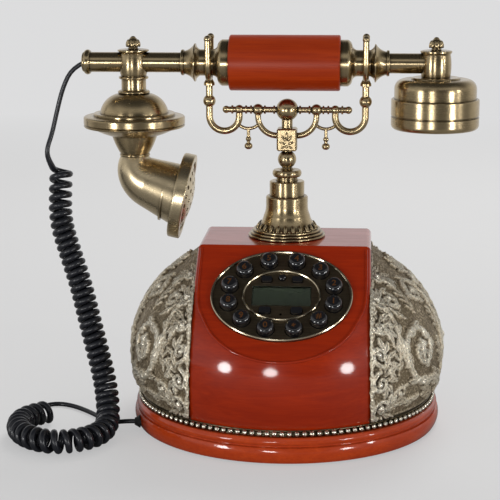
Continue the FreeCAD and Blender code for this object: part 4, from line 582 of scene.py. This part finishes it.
def curlPitch(distance):
    if distance < cord["stretched"] * mm:
        share = distance / (cord["stretched"] * mm)
        return (cord["pitchTop"] + (cord["pitchHanging"] - cord["pitchTop"]) * share) * mm
    if distance < cord["hanging"] * mm:
        return cord["pitchHanging"] * mm
    return cord["pitchLying"] * mm


def helixPoints(middle):
    # Walk the middle line with a frame that doesn't twist, and add up the turns from the pitch
    frames = []
    side = Vector((-1, 0, 0))
    turn = 0.0
    distance = 0.0
    for i, point in enumerate(middle):
        heading = (middle[min(i + 1, len(middle) - 1)] - middle[max(i - 1, 0)]).normalized()
        side = (side - heading * side.dot(heading)).normalized()
        if i:
            step = (point - middle[i - 1]).length
            distance += step
            turn += fullTurn * step / curlPitch(distance)
        frames.append((turn, point, side.copy(), heading.cross(side)))
    # The last turn ends at its lowest point, where the plain tail leaves along the floor
    lastSide, lastAcross = frames[-1][2:]
    endTurn = math.atan2(-lastAcross.z, -lastSide.z)
    total = fullTurn * round((turn - endTurn) / fullTurn) + endTurn
    count = round(total / fullTurn * cord["perTurn"])
    points = []
    i = 0
    for k in range(count + 1):
        wanted = turn * k / count
        while i < len(frames) - 2 and frames[i + 1][0] < wanted:
            i += 1
        begun, here, side, across = frames[i]
        ended, there = frames[i + 1][:2]
        point = here.lerp(there, (wanted - begun) / (ended - begun))
        angle = total * k / count
        around = side * math.cos(angle) + across * math.sin(angle)
        points.append(point + around * cord["curlRadius"] * mm)
    return points


def makeCord():
    lead = inMetres((cord["exit"],) + cord["lead"])
    curl = helixPoints(curvePoints("curlMiddle", inMetres(cord["curl"]), cord["middleSteps"]))
    tail = inMetres(cord["tail"] + (cord["end"],))
    route = lead + curl + tail
    thinner = cord["plain"] / cord["diameter"]
    shares = [thinner] * len(lead) + [1.0] * len(curl) + [thinner] * len(tail)
    line = curvePoints("cordLine", route, cord["curveSteps"])
    curve = smoothCurve("curlyCord", route, cord["curveSteps"], cord["diameter"] / 2 * mm, shares)
    tube = showMesh("curlyCord", curveMesh(curve), cordBlack)
    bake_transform(tube)
    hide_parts("cord_lead", "cord_curl", "cord_tail")


# Cast relief panels on the two sides of the dome, with a plain leaf and scroll ornament

relief = {
    "belly": 99.5, "bellyHeight": 47.0, "upperCurve": 65.7, "lowerCurve": 60.0, "lineAngle": 52.0,
    "foot": 17.0, "sideFoot": 56.2, "sideTop": 54.0, "sideRise": 104.3, "lap": 1.6,
    "topSearch": (60.0, 140.0), "across": 360, "upward": 200,
    "plainFoot": 6.0, "footFade": 1.0, "footLine": 0.9, "footReach": 100, "pebble": 0.4, "pebbleStep": 3.4,
    "rim": 0.2, "merge": 0.01, "brightFrom": 3.2,
}


def sideHalfWidth(height):
    share = (height - relief["foot"]) / relief["sideRise"]
    return relief["sideFoot"] + (relief["sideTop"] - relief["sideFoot"]) * share - relief["lap"]


def domeProfile(length):
    # Radius, height and outward slope of the dome at a length along its outline from the foot
    lower, upper = relief["lowerCurve"], relief["upperCurve"]
    lowTurn = math.asin((relief["bellyHeight"] - relief["foot"]) / lower)
    topTurn = math.radians(relief["lineAngle"])
    turn = np.where(length < lower * lowTurn, length / lower - lowTurn, (length - lower * lowTurn) / upper)
    turn = np.minimum(turn, topTurn)
    curve = np.where(turn < 0, lower, upper)
    straight = np.maximum(length - lower * lowTurn - upper * topTurn, 0)
    radius = relief["belly"] - curve + curve * np.cos(turn) - straight * np.sin(turn)
    height = relief["bellyHeight"] + curve * np.sin(turn) + straight * np.cos(turn)
    return radius, height, turn


def edgeReach(length):
    # Half the panel's width, measured round the dome
    radius, height = domeProfile(length)[:2]
    return np.arccos(np.minimum(sideHalfWidth(height) / radius, 1)) * radius


def onPanel(length):
    radius, height = domeProfile(np.array(length))[:2]
    return radius > sideHalfWidth(height)


def straightLine(start, end, count):
    return np.stack([np.linspace(start[i], end[i], count) for i in (0, 1)], 1)


def bezierLine(a, b, c, d, count=40):
    t = np.linspace(0, 1, count)[:, None]
    a, b, c, d = (np.array(p, float) for p in (a, b, c, d))
    return a * (1 - t) ** 3 + 3 * b * t * (1 - t) ** 2 + 3 * c * t ** 2 * (1 - t) + d * t ** 3


def bentLine(root, angle, length, bend, leave=0.35, arrive=0.8, turnIn=0.5, count=36):
    # A line from its root along an angle, bending aside towards its tip
    angle = math.radians(angle)
    root = np.array(root, float)
    ahead = np.array([math.cos(angle), math.sin(angle)]) * length
    aside = np.array([-ahead[1], ahead[0]]) * bend
    third = root + ahead * arrive + aside * turnIn
    return bezierLine(root, root + ahead * leave, third, root + ahead + aside, count)


def spiralLine(centre, radius, start, turns, hand, close=0.84, ease=0.8, count=90):
    t = np.linspace(0, 1, count)
    angle = math.radians(start) + hand * fullTurn * turns * t
    reach = radius * (1 - close * t ** ease)
    return np.stack([centre[0] + reach * np.cos(angle), centre[1] + reach * np.sin(angle)], 1)


def scrollLine(root, heading, centre, radius, start, turns, hand, pull=0.42):
    spiral = spiralLine(centre, radius, start, turns, hand)
    angle = math.radians(start)
    arrive = np.array([-math.sin(angle), math.cos(angle)]) * hand
    gap = np.linalg.norm(spiral[0] - np.array(root)) * pull
    leave = np.array(root, float) + np.array(heading, float) * gap
    return np.concatenate([bezierLine(root, leave, spiral[0] - arrive * gap, spiral[0])[:-1], spiral])


leafForm = {
    "start": 0.06, "span": 0.92, "fullness": 0.8, "lobeDepth": 0.3, "leastWidth": 0.25, "ribbedFrom": 9,
    "groove": 0.5, "grooveWidth": 0.22, "ribDepth": 0.32,
}
scrollForm = {
    "groove": 0.3, "ribStep": 3.6, "eye": 2.0, "eyeTall": 1.15, "leafFrom": 0.06, "leafSpan": 0.66,
    "leafTurn": 40, "leafLess": 0.04, "leafWide": 0.24, "leafTall": 0.85, "leafBend": 0.3,
}
sprigForm = {
    "stem": 0.8, "stemTall": 0.8, "leafTurn": 46, "leafLong": 0.42, "leafWide": 0.12, "leafBend": 0.25,
    "tipTurn": 10, "tipLong": 0.4, "line": {"bend": 0.18, "arrive": 0.7, "turnIn": 1.0, "count": 30},
}


class Ornament:
    # A height over the unrolled panel, built up stroke by stroke; the tallest stroke wins
    def __init__(self, across, upward, lowest):
        self.at = np.stack([across, upward], 1)
        self.height = lowest

    def stroke(self, line, width, tall, groove=0.0, ribs=0):
        widths = np.full(len(line), width, float)
        reach = widths.max()
        low = line.min(0) - reach
        high = line.max(0) + reach
        near = np.nonzero(((self.at > low) & (self.at < high)).all(1))[0]
        if not len(near):
            return
        apart = np.linalg.norm(self.at[near][:, None, :] - line[None], axis=2)
        nearest = apart.argmin(1)
        share = apart[np.arange(len(near)), nearest] / widths[nearest]
        rise = tall * np.sqrt(np.clip(1 - share ** 2, 0, 1))
        rise *= 1 - groove * np.exp(-(share / leafForm["grooveWidth"]) ** 2)
        if ribs:
            swing = np.cos(2 * np.pi * (ribs * nearest / len(line) - share))
            rise *= 1 - leafForm["ribDepth"] * (0.5 - 0.5 * swing)
        self.height[near] = np.maximum(self.height[near], rise)

    def leaf(self, root, angle, length, width, tall, bend=0.25, lobes=3):
        line = bentLine(root, angle, length, bend)
        t = np.linspace(0, 1, len(line))
        along = np.clip(t * leafForm["span"] + leafForm["start"], 0, 1)
        widths = width * np.sin(np.pi * along) ** leafForm["fullness"]
        widths *= 1 - leafForm["lobeDepth"] * np.abs(np.sin(np.pi * lobes * t))
        ribs = lobes * 2 if length > leafForm["ribbedFrom"] else 0
        self.stroke(line, np.maximum(widths, leafForm["leastWidth"]), tall, leafForm["groove"], ribs)

    def scroll(self, line, wide, thin, tall, leaves=0, leafLength=0.0):
        t = np.linspace(0, 1, len(line))
        length = np.linalg.norm(np.diff(line, axis=0), axis=1).sum()
        ribs = int(length / scrollForm["ribStep"])
        self.stroke(line, wide + (thin - wide) * t, tall, scrollForm["groove"], ribs)
        self.stroke(line[-1:], thin * scrollForm["eye"], tall * scrollForm["eyeTall"])
        width = leafLength * scrollForm["leafWide"]
        for i in range(leaves):
            k = int(len(line) * (scrollForm["leafFrom"] + scrollForm["leafSpan"] * i / max(leaves - 1, 1)))
            ahead = line[k + 1] - line[k]
            hand = 1 if i % 2 else -1
            angle = math.degrees(math.atan2(ahead[1], ahead[0])) + hand * scrollForm["leafTurn"]
            long = leafLength * (1 - scrollForm["leafLess"] * i)
            bend = -scrollForm["leafBend"] * hand
            self.leaf(line[k], angle, long, width, tall * scrollForm["leafTall"], bend)

    def rosette(self, centre, radius, petals, tall, petalWide=0.36, petalTall=0.8, middle=0.3):
        for i in range(petals):
            angle = 360 * i / petals + 90
            self.leaf(centre, angle, radius, radius * petalWide, tall * petalTall, bend=0.0, lobes=1)
        self.stroke(np.array([centre], float), radius * middle, tall)

    def sprig(self, root, angle, length, pairs, tall):
        # A bent stem with small leaves in pairs and one at its tip
        line = bentLine(root, angle, length, **sprigForm["line"])
        self.stroke(line, sprigForm["stem"], tall * sprigForm["stemTall"])
        width = length * sprigForm["leafWide"]
        for i in range(pairs):
            at = line[int(len(line) * (i + 0.5) / pairs)]
            for hand in (-1, 1):
                turn = angle + hand * sprigForm["leafTurn"]
                bend = -sprigForm["leafBend"] * hand
                self.leaf(at, turn, length * sprigForm["leafLong"], width, tall, bend, lobes=1)
        tip = angle + sprigForm["tipTurn"]
        self.leaf(line[-1], tip, length * sprigForm["tipLong"], width, tall, bend=0.0, lobes=1)


border = {
    "ends": 4, "points": 220, "inset": 1.2, "wave": 0.6, "waveStep": 0.75,
    "twist": {"width": 1.9, "tall": 2.4, "ribs": 44}, "scroll": {"wide": 2.0, "thin": 1.1, "tall": 3.2},
    "scrolls": 6, "firstScroll": 15, "scrollSpan": 36, "radius": 7.4, "radiusLess": 0.4, "gap": 0.8,
    "turns": 1.35, "leaves": 5, "leafTurn": 70, "leafTurnStep": 34, "leafIn": 0.45, "leafUp": 0.9,
    "leafStep": 2.3, "leafLong": 12.5, "leafLess": 1.3, "leafBend": 0.3,
    "leaf": {"width": 2.7, "tall": 2.7, "lobes": 2},
}


def borderOrnament(ornament, top):
    # Shell scrolls in a row along the edge, with a twisted cord of metal outside them
    lengths = np.linspace(border["ends"], top - border["ends"], border["points"])
    wave = border["inset"] + border["wave"] * np.sin(lengths * border["waveStep"])
    twist = np.stack([edgeReach(lengths) - wave, lengths], 1)
    ornament.stroke(twist, **border["twist"])
    for i in range(border["scrolls"]):
        length = border["firstScroll"] + (top - border["scrollSpan"]) * i / (border["scrolls"] - 1)
        radius = border["radius"] - border["radiusLess"] * i
        centre = (float(edgeReach(np.array(length))) - radius - border["gap"], length)
        hand = 1 if i % 2 else -1
        spiral = spiralLine(centre, radius, 90 * hand, border["turns"], -hand)
        ornament.scroll(spiral, **border["scroll"])
        for k in range(border["leaves"]):
            angle = 180 - hand * (border["leafTurn"] - border["leafTurnStep"] * k)
            rise = hand * (radius * border["leafUp"] - border["leafStep"] * k)
            root = (centre[0] - radius * border["leafIn"], length + rise)
            long = border["leafLong"] - border["leafLess"] * k
            ornament.leaf(root, angle, long, bend=border["leafBend"] * hand, **border["leaf"])


def pebbledGround(across, upward):
    # Low uneven swells all over, as the ground of a casting has
    turn = 2 * np.pi / relief["pebbleStep"]
    wander = np.sin(upward * turn * 0.37) + np.sin(across * turn * 0.29)
    swell = np.sin(across * turn + wander * 1.7) * np.sin(upward * turn * 0.87 + wander * 1.3)
    return relief["pebble"] * (0.5 + 0.5 * swell)


# Each scroll: root, heading, centre, radius, first angle, turns and hand of its line; then how it is drawn
scrolls = (
    (((5, 13), (1, 0), (50, 45), 21, -100, 1.55, 1),
     {"wide": 3.2, "thin": 1.6, "tall": 3.2, "leaves": 15, "leafLength": 13.0}),
    (((20, 16), (-0.5, 0.86), (24, 79), 11.5, 180, 1.4, -1),
     {"wide": 2.5, "thin": 1.2, "tall": 2.7, "leaves": 11, "leafLength": 10.0}),
    (((68, 38), (0.3, 0.95), (55, 80), 8.5, 0, 1.35, 1),
     {"wide": 2.3, "thin": 1.1, "tall": 2.5, "leaves": 8, "leafLength": 8.5}),
    (((54, 16), (1, -0.1), (74, 22), 6.5, -90, 1.3, 1),
     {"wide": 2.2, "thin": 1.1, "tall": 2.4, "leaves": 6, "leafLength": 8.0}),
)
# Each rosette: centre, radius, petals and height
rosettes = (((50, 45), 7.5, 6, 3.4), ((24, 79), 4.2, 5, 2.8), ((0, 42), 11, 10, 3.6))
sprigs = {
    "pairs": 3, "tall": 2.0,
    "rootAngleLength": (
        ((20, 27), 70, 15), ((17, 50), 68, 13), ((41, 67), 82, 14), ((30, 12), 12, 17), ((77, 34), 96, 16),
        ((76, 54), 102, 13), ((8, 61), 62, 13), ((66, 66), 80, 10), ((40, 84), 95, 11), ((56, 92), 120, 9),
    ),
}
middleRib = {
    "low": 10, "high": 90, "points": 60, "stroke": {"width": 1.8, "tall": 2.4, "ribs": 20}, "rows": 6,
    "firstRow": 14, "rowStep": 13, "leafAside": 0.6, "leafAngles": (52, 20), "leafLong": 11.5,
    "leafLess": 0.5, "leaf": {"width": 2.8, "tall": 2.6, "bend": 0.3},
}
crown = {
    "root": (0, 92), "angles": (90, 60, 32, 5), "long": 11, "longer": 6,
    "leaf": {"width": 2.9, "tall": 2.8, "bend": 0.1},
}


def panelOrnament(across, upward, top):
    # Drawn on one half of the panel and mirrored onto the other
    half = np.abs(across)
    ornament = Ornament(half, upward, pebbledGround(half, upward))
    borderOrnament(ornament, top)
    for route, drawn in scrolls:
        ornament.scroll(scrollLine(*route), **drawn)
    for facts in rosettes:
        ornament.rosette(*facts)
    for root, angle, length in sprigs["rootAngleLength"]:
        ornament.sprig(root, angle, length, sprigs["pairs"], sprigs["tall"])
    rib = straightLine((0, middleRib["low"]), (0, middleRib["high"]), middleRib["points"])
    ornament.stroke(rib, **middleRib["stroke"])
    for i in range(middleRib["rows"]):
        root = (middleRib["leafAside"], middleRib["firstRow"] + middleRib["rowStep"] * i)
        for angle in middleRib["leafAngles"]:
            length = middleRib["leafLong"] - middleRib["leafLess"] * i
            ornament.leaf(root, angle, length, **middleRib["leaf"])
    for angle in crown["angles"]:
        length = crown["long"] + crown["longer"] * math.sin(math.radians(angle))
        ornament.leaf(crown["root"], angle, length, **crown["leaf"])
    foot = relief["plainFoot"] + relief["footLine"]
    line = straightLine((0, foot), (relief["footReach"], foot), 2 * relief["footReach"])
    ornament.stroke(line, relief["footLine"], relief["footLine"])
    return ornament.height


# Relief colours: the rubbed colour is bright worn metal on the tallest points and a painted highlight as
# well; the hollow colour is patina and painted shade as well
casting = {
    "ground": (0.21, 0.163, 0.10), "raised": (0.72, 0.605, 0.43), "rubbedAndHighlight": (1.0, 0.93, 0.77),
    "hollow": (0.02, 0.014, 0.008), "speckScale": 700.0, "mottle": (-0.1, 0.1), "speck": (-0.3, 0.36),
    "raisedFade": (0.05, 0.5), "rubbedAndHighlightFade": (0.4, 0.85), "roughness": (0.56, 0.26), "metallic": 0.75,
    "hollows": {"reach": 4, "samples": 6, "fade": (0.42, 0.88)}, "bump": {"depth": 0.3, "strength": 0.9},
}


def bronzeRelief():
    material, tree, shader = newMaterial("bronzeRelief")
    raised = addNode(tree, "ShaderNodeAttribute", attribute_name="raised").outputs["Fac"]
    made = useGroup(tree, speckle, {"Vector": objectPlace(tree), "Scale": casting["speckScale"]})
    tone = combine(tree, "ADD", raised, rescale(tree, made["Mottle"], *casting["mottle"]))
    tone = combine(tree, "ADD", tone, rescale(tree, made["Speck"], *casting["speck"]))
    wearHighlightAndShade = mixColours(tree, ramp(tree, tone, *casting["raisedFade"]), casting["ground"], casting["raised"])
    # The tallest points go near white: real rubbed wear, and a painted highlight on top of it
    wearHighlightAndShade = mixColours(tree, ramp(tree, tone, *casting["rubbedAndHighlightFade"]), wearHighlightAndShade, casting["rubbedAndHighlight"])
    # Hollows found by occlusion go near black: patina there, and painted shade too
    wearHighlightAndShade = mixColours(tree, clearOfHollows(tree, **casting["hollows"]), casting["hollow"], wearHighlightAndShade)
    setInputs(tree, shader, {
        "Base Color": wearHighlightAndShade, "Metallic": casting["metallic"],
        "Roughness": rescale(tree, tone, *casting["roughness"]),
    })
    addBump(tree, shader, made["Speck"], **casting["bump"])
    return material


def makeReliefPanel(name, side, material, replaced):
    shape = bmesh.new()
    bmesh.ops.create_grid(shape, x_segments=relief["across"], y_segments=relief["upward"], size=1)
    flat = np.array([v.co[:2] for v in shape.verts])
    top = lastTrue(*relief["topSearch"], onPanel)
    upward = (flat[:, 1] + 1) / 2 * top
    across = flat[:, 0] * edgeReach(upward)
    tall = panelOrnament(across, upward, top)
    tall *= np.clip((upward - relief["plainFoot"]) / relief["footFade"], 0, 1)
    radius, height, turn = domeProfile(upward)
    around = across / radius
    out = radius + tall * np.cos(turn)
    places = np.stack([side * out * np.cos(around), out * np.sin(around), height + tall * np.sin(turn)], 1)
    for vertex, place in zip(shape.verts, places * mm):
        vertex.co = place
    rim = [e for e in shape.edges if e.is_boundary]
    mouth = bmesh.ops.extrude_edge_only(shape, edges=rim)["geom"]
    for vertex in mouth:
        if isinstance(vertex, bmesh.types.BMVert):
            vertex.co.x -= side * relief["rim"] * mm
    bmesh.ops.contextual_create(shape, geom=[e for e in mouth if isinstance(e, bmesh.types.BMEdge)])
    bmesh.ops.remove_doubles(shape, verts=shape.verts, dist=relief["merge"] * mm)
    bmesh.ops.recalc_face_normals(shape, faces=shape.faces)
    piece = meshPiece(name, shape, material, "base", (replaced,))
    raised = np.zeros(len(piece.data.vertices), np.float32)
    raised[:len(tall)] = np.clip(tall[:len(raised)] / relief["brightFrom"], 0, 1)
    piece.data.attributes.new("raised", "FLOAT", "POINT").data.foreach_set("value", raised)


def makeRelief():
    material = bronzeRelief()
    makeReliefPanel("reliefPanelLeft", -1, material, "relief_panel_left")
    makeReliefPanel("reliefPanelRight", 1, material, "relief_panel_right")
    print("relief panels modelled")


# Fine raised line round the front facet, where it meets the dome and the rounded sides

facet = {
    "sides": ((51.2, 36.0), (51.5, 18.0), (51.4, 2.0), (50.6, -8.0)), "halfSpan": 48.0, "steps": 17,
    "bead": 0.85, "proud": 0.2, "creaseSearch": (-60.0, 0.0), "curveSteps": 8,
}


def facetPlace(x, along):
    out, upSlope = slopeAxes()
    proud = out * facet["bead"] * facet["proud"]
    return Vector(keypad["middle"]) + upSlope * along + Vector((x, 0, 0)) + proud


def creasePlace(x):
    # Where the facet meets the dome, straight down the slope from the keypad
    def outsideDome(along):
        place = facetPlace(x, along)
        upper = relief["upperCurve"]
        reach = relief["belly"] - upper + math.sqrt(upper ** 2 - (place.z - relief["bellyHeight"]) ** 2)
        return math.hypot(x, place.y) > reach
    return facetPlace(x, lastTrue(*facet["creaseSearch"], outsideDome))


def makeFacetLine():
    line = [facetPlace(-x, along) for x, along in facet["sides"]]
    line += [creasePlace(x) for x in np.linspace(-facet["halfSpan"], facet["halfSpan"], facet["steps"])]
    line += [facetPlace(x, along) for x, along in reversed(facet["sides"])]
    mesh = curveMesh(smoothCurve("facetLine", inMetres(line), facet["curveSteps"], facet["bead"] * mm))
    finishPiece("facetLine", mesh, redWood, "base")
    print("facet line modelled")


# Numbers on the round keys

keyNames = (*"1234567890", "star", "hash")
keyMarks = {"star": "*", "hash": "#"}


def keyTop(name):
    # Middle of a key's top face, read from its solid
    out, upSlope = slopeAxes()
    points = [v.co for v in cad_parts[name].data.vertices]
    high = max(p.dot(out) for p in points)
    top = [p for p in points if p.dot(out) > high - keypad["topWithin"] * mm]
    across = (min(p.x for p in top) + max(p.x for p in top)) / 2
    along = (min(p.dot(upSlope) for p in top) + max(p.dot(upSlope) for p in top)) / 2
    return Vector((across, 0, 0)) + upSlope * along + out * high


def makeNumbers():
    copper = brassFinish("copperInk", (700.0, 700.0, 700.0), light=(0.66, 0.29, 0.11),
                         dark=(0.42, 0.16, 0.06), roughness=0.34, edge=0.0)
    out, upSlope = slopeAxes()
    turn = Matrix((Vector((1, 0, 0)), upSlope, out)).transposed().to_4x4()
    for key in keyNames:
        text = bpy.data.curves.new("number" + key, "FONT")
        text.body = keyMarks.get(key, key)
        text.size = keypad["numberSize"] * mm
        text.extrude = keypad["numberThick"] / 2 * mm
        text.offset = keypad["numberWeight"] * mm
        mesh = curveMesh(text)
        low = Vector(map(min, *(v.co for v in mesh.vertices)))
        high = Vector(map(max, *(v.co for v in mesh.vertices)))
        mesh.transform(Matrix.Translation(-(low + high) / 2))
        place = keyTop("key_" + key) + out * keypad["numberRise"] * mm
        mesh.transform(Matrix.Translation(place) @ turn)
        piece = finishPiece("number_" + key, mesh, copper, "key_" + key)
        piece.data.shade_flat()
    print("numbers set on the keys")


# Beads round the foot of the body, on a strip with two fine ridges

beads = {
    "count": 132, "ring": 95.0, "height": 18.95, "radius": 1.75, "stripSteps": 180,
    "strip": ((92.2, 17.1), (94.2, 17.1), (94.6, 17.7), (93.9, 18.1), (93.9, 20.1), (94.4, 20.5),
              (94.0, 20.9), (93.6, 20.9)),
}


def spinOutline(shape, outline, steps, x=0.0, closed=False):
    # An outline of (radius, height) turned round an upright axis at x, all in metres
    verts = [shape.verts.new((x + radius, 0, height)) for radius, height in outline]
    pairs = list(zip(verts, verts[1:]))
    if closed:
        pairs.append((verts[-1], verts[0]))
    edges = [shape.edges.new(pair) for pair in pairs]
    bmesh.ops.spin(shape, geom=verts + edges, cent=(x, 0, 0), axis=up, angle=fullTurn, steps=steps,
                   use_merge=True)


def addBall(shape, at, size, turn, segments=10, rings=8):
    place = Matrix.Translation(at) @ turn @ Matrix.Diagonal((*(s * mm for s in size), 1))
    bmesh.ops.create_uvsphere(shape, u_segments=segments, v_segments=rings, radius=1, matrix=place)


def turnedBy(share):
    return Matrix.Rotation(fullTurn * share, 4, "Z")


def makeBeads():
    strip = bmesh.new()
    outline = [(radius * mm, height * mm) for radius, height in beads["strip"]]
    spinOutline(strip, outline, beads["stripSteps"], closed=True)
    bmesh.ops.recalc_face_normals(strip, faces=strip.faces)
    meshPiece("beadStrip", strip, darkBrass, "base")
    ring = bmesh.new()
    start = Vector((beads["ring"] * mm, 0, beads["height"] * mm))
    for i in range(beads["count"]):
        turn = turnedBy((i + 0.5) / beads["count"])
        addBall(ring, turn @ start, [beads["radius"]] * 3, turn, rings=6)
    meshPiece("beadRing", ring, beadBrass, "base", ("bead_ring",))
    print("bead ring modelled")


# Flower knobs on the two tees

knobs = {
    "places": (-97.6, 93.0), "within": 20.0, "petals": 8, "petal": (1.05, 1.575, 2.5), "ring": 3.55,
    "petalHeight": 0.46, "petalLean": -14, "bud": 1.9, "budHeight": 0.82, "budTall": 0.18, "steps": 32,
    "outline": ((0, 0), (3.2, 0), (3.2, 0.10), (2.7, 0.16), (3.4, 0.30), (3.6, 0.45), (3.2, 0.66),
                (2.3, 0.82), (0, 0.84)),
    "merge": 0.005,
}


def makeKnobs():
    shape = bmesh.new()
    corners = [v.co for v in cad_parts["finials"].data.vertices]
    lean = Matrix.Rotation(math.radians(knobs["petalLean"]), 4, "Y")
    for place in knobs["places"]:
        x = place * mm
        heights = [p.z for p in corners if abs(p.x - x) < knobs["within"] * mm]
        bottom = min(heights)
        tall = max(heights) - bottom
        outline = [(radius * mm, bottom + share * tall) for radius, share in knobs["outline"]]
        spinOutline(shape, outline, knobs["steps"], x)
        middle = Vector((x, 0, bottom + knobs["petalHeight"] * tall))
        for i in range(knobs["petals"]):
            around = turnedBy(i / knobs["petals"])
            at = middle + around @ Vector((knobs["ring"] * mm, 0, 0))
            addBall(shape, at, knobs["petal"], around @ lean)
        top = Vector((x, 0, bottom + knobs["budHeight"] * tall))
        bud = (knobs["bud"], knobs["bud"], knobs["budTall"] * tall / mm)
        addBall(shape, top, bud, Matrix.Identity(4), segments=14)
    bmesh.ops.remove_doubles(shape, verts=shape.verts, dist=knobs["merge"] * mm)
    bmesh.ops.recalc_face_normals(shape, faces=shape.faces)
    meshPiece("flowerKnobs", shape, brassSmall, "handset", ("finials",))
    print("flower knobs modelled")


# Leaves round the bell, with a small bud between each two

bell = {
    "leaves": 24, "ring": 18.6, "height": 128.4, "leaf": (0.55, 1.3, 2.6), "lean": -32.0,
    "bud": (0.6, 0.8, 1.0), "budOut": 0.7, "budDrop": 1.5,
}


def makeBellLeaves():
    shape = bmesh.new()
    lean = Matrix.Rotation(math.radians(bell["lean"]), 4, "Y")
    leafAt = Vector((bell["ring"] * mm, 0, bell["height"] * mm))
    budAt = Vector(((bell["ring"] + bell["budOut"]) * mm, 0, (bell["height"] - bell["budDrop"]) * mm))
    for i in range(bell["leaves"]):
        around = turnedBy(i / bell["leaves"])
        addBall(shape, around @ leafAt, bell["leaf"], around @ lean, segments=8)
        between = turnedBy((i + 0.5) / bell["leaves"])
        addBall(shape, between @ budAt, bell["bud"], between @ lean, segments=8, rings=6)
    meshPiece("bellLeaves", shape, brassSmall, "base")
    print("bell leaves modelled")


# Leaf spray on the front and back of the cradle's block; each leaf is x, height, length, width and angle

spray = {
    "face": 6.35, "middle": 183.7, "thick": 0.55,
    "single": ((0, 2.4, 2.8, 1.0, 0), (0, -4.2, 1.1, 1.1, 0)),
    "paired": ((2.0, 1.2, 2.4, 0.85, 34), (2.6, -1.8, 2.2, 0.8, 72), (2.2, -4.4, 1.7, 0.7, 118)),
}


def makeBlockSpray():
    shape = bmesh.new()
    leaves = list(spray["single"])
    for hand in (-1, 1):
        leaves += [(hand * x, z, long, wide, hand * angle) for x, z, long, wide, angle in spray["paired"]]
    for side in (-1, 1):
        for x, z, long, wide, angle in leaves:
            at = Vector((x * mm, side * spray["face"] * mm, (spray["middle"] + z) * mm))
            turn = Matrix.Rotation(math.radians(angle), 4, "Y")
            addBall(shape, at, (wide, spray["thick"], long), turn)
    meshPiece("blockSpray", shape, brassSmall, "cradle")
    print("block spray modelled")


makeCamera()
makeStudio()
dressNodes()
makeCord()
makeRelief()
makeFacetLine()
makeNumbers()
makeBeads()
makeKnobs()
makeBellLeaves()
makeBlockSpray()
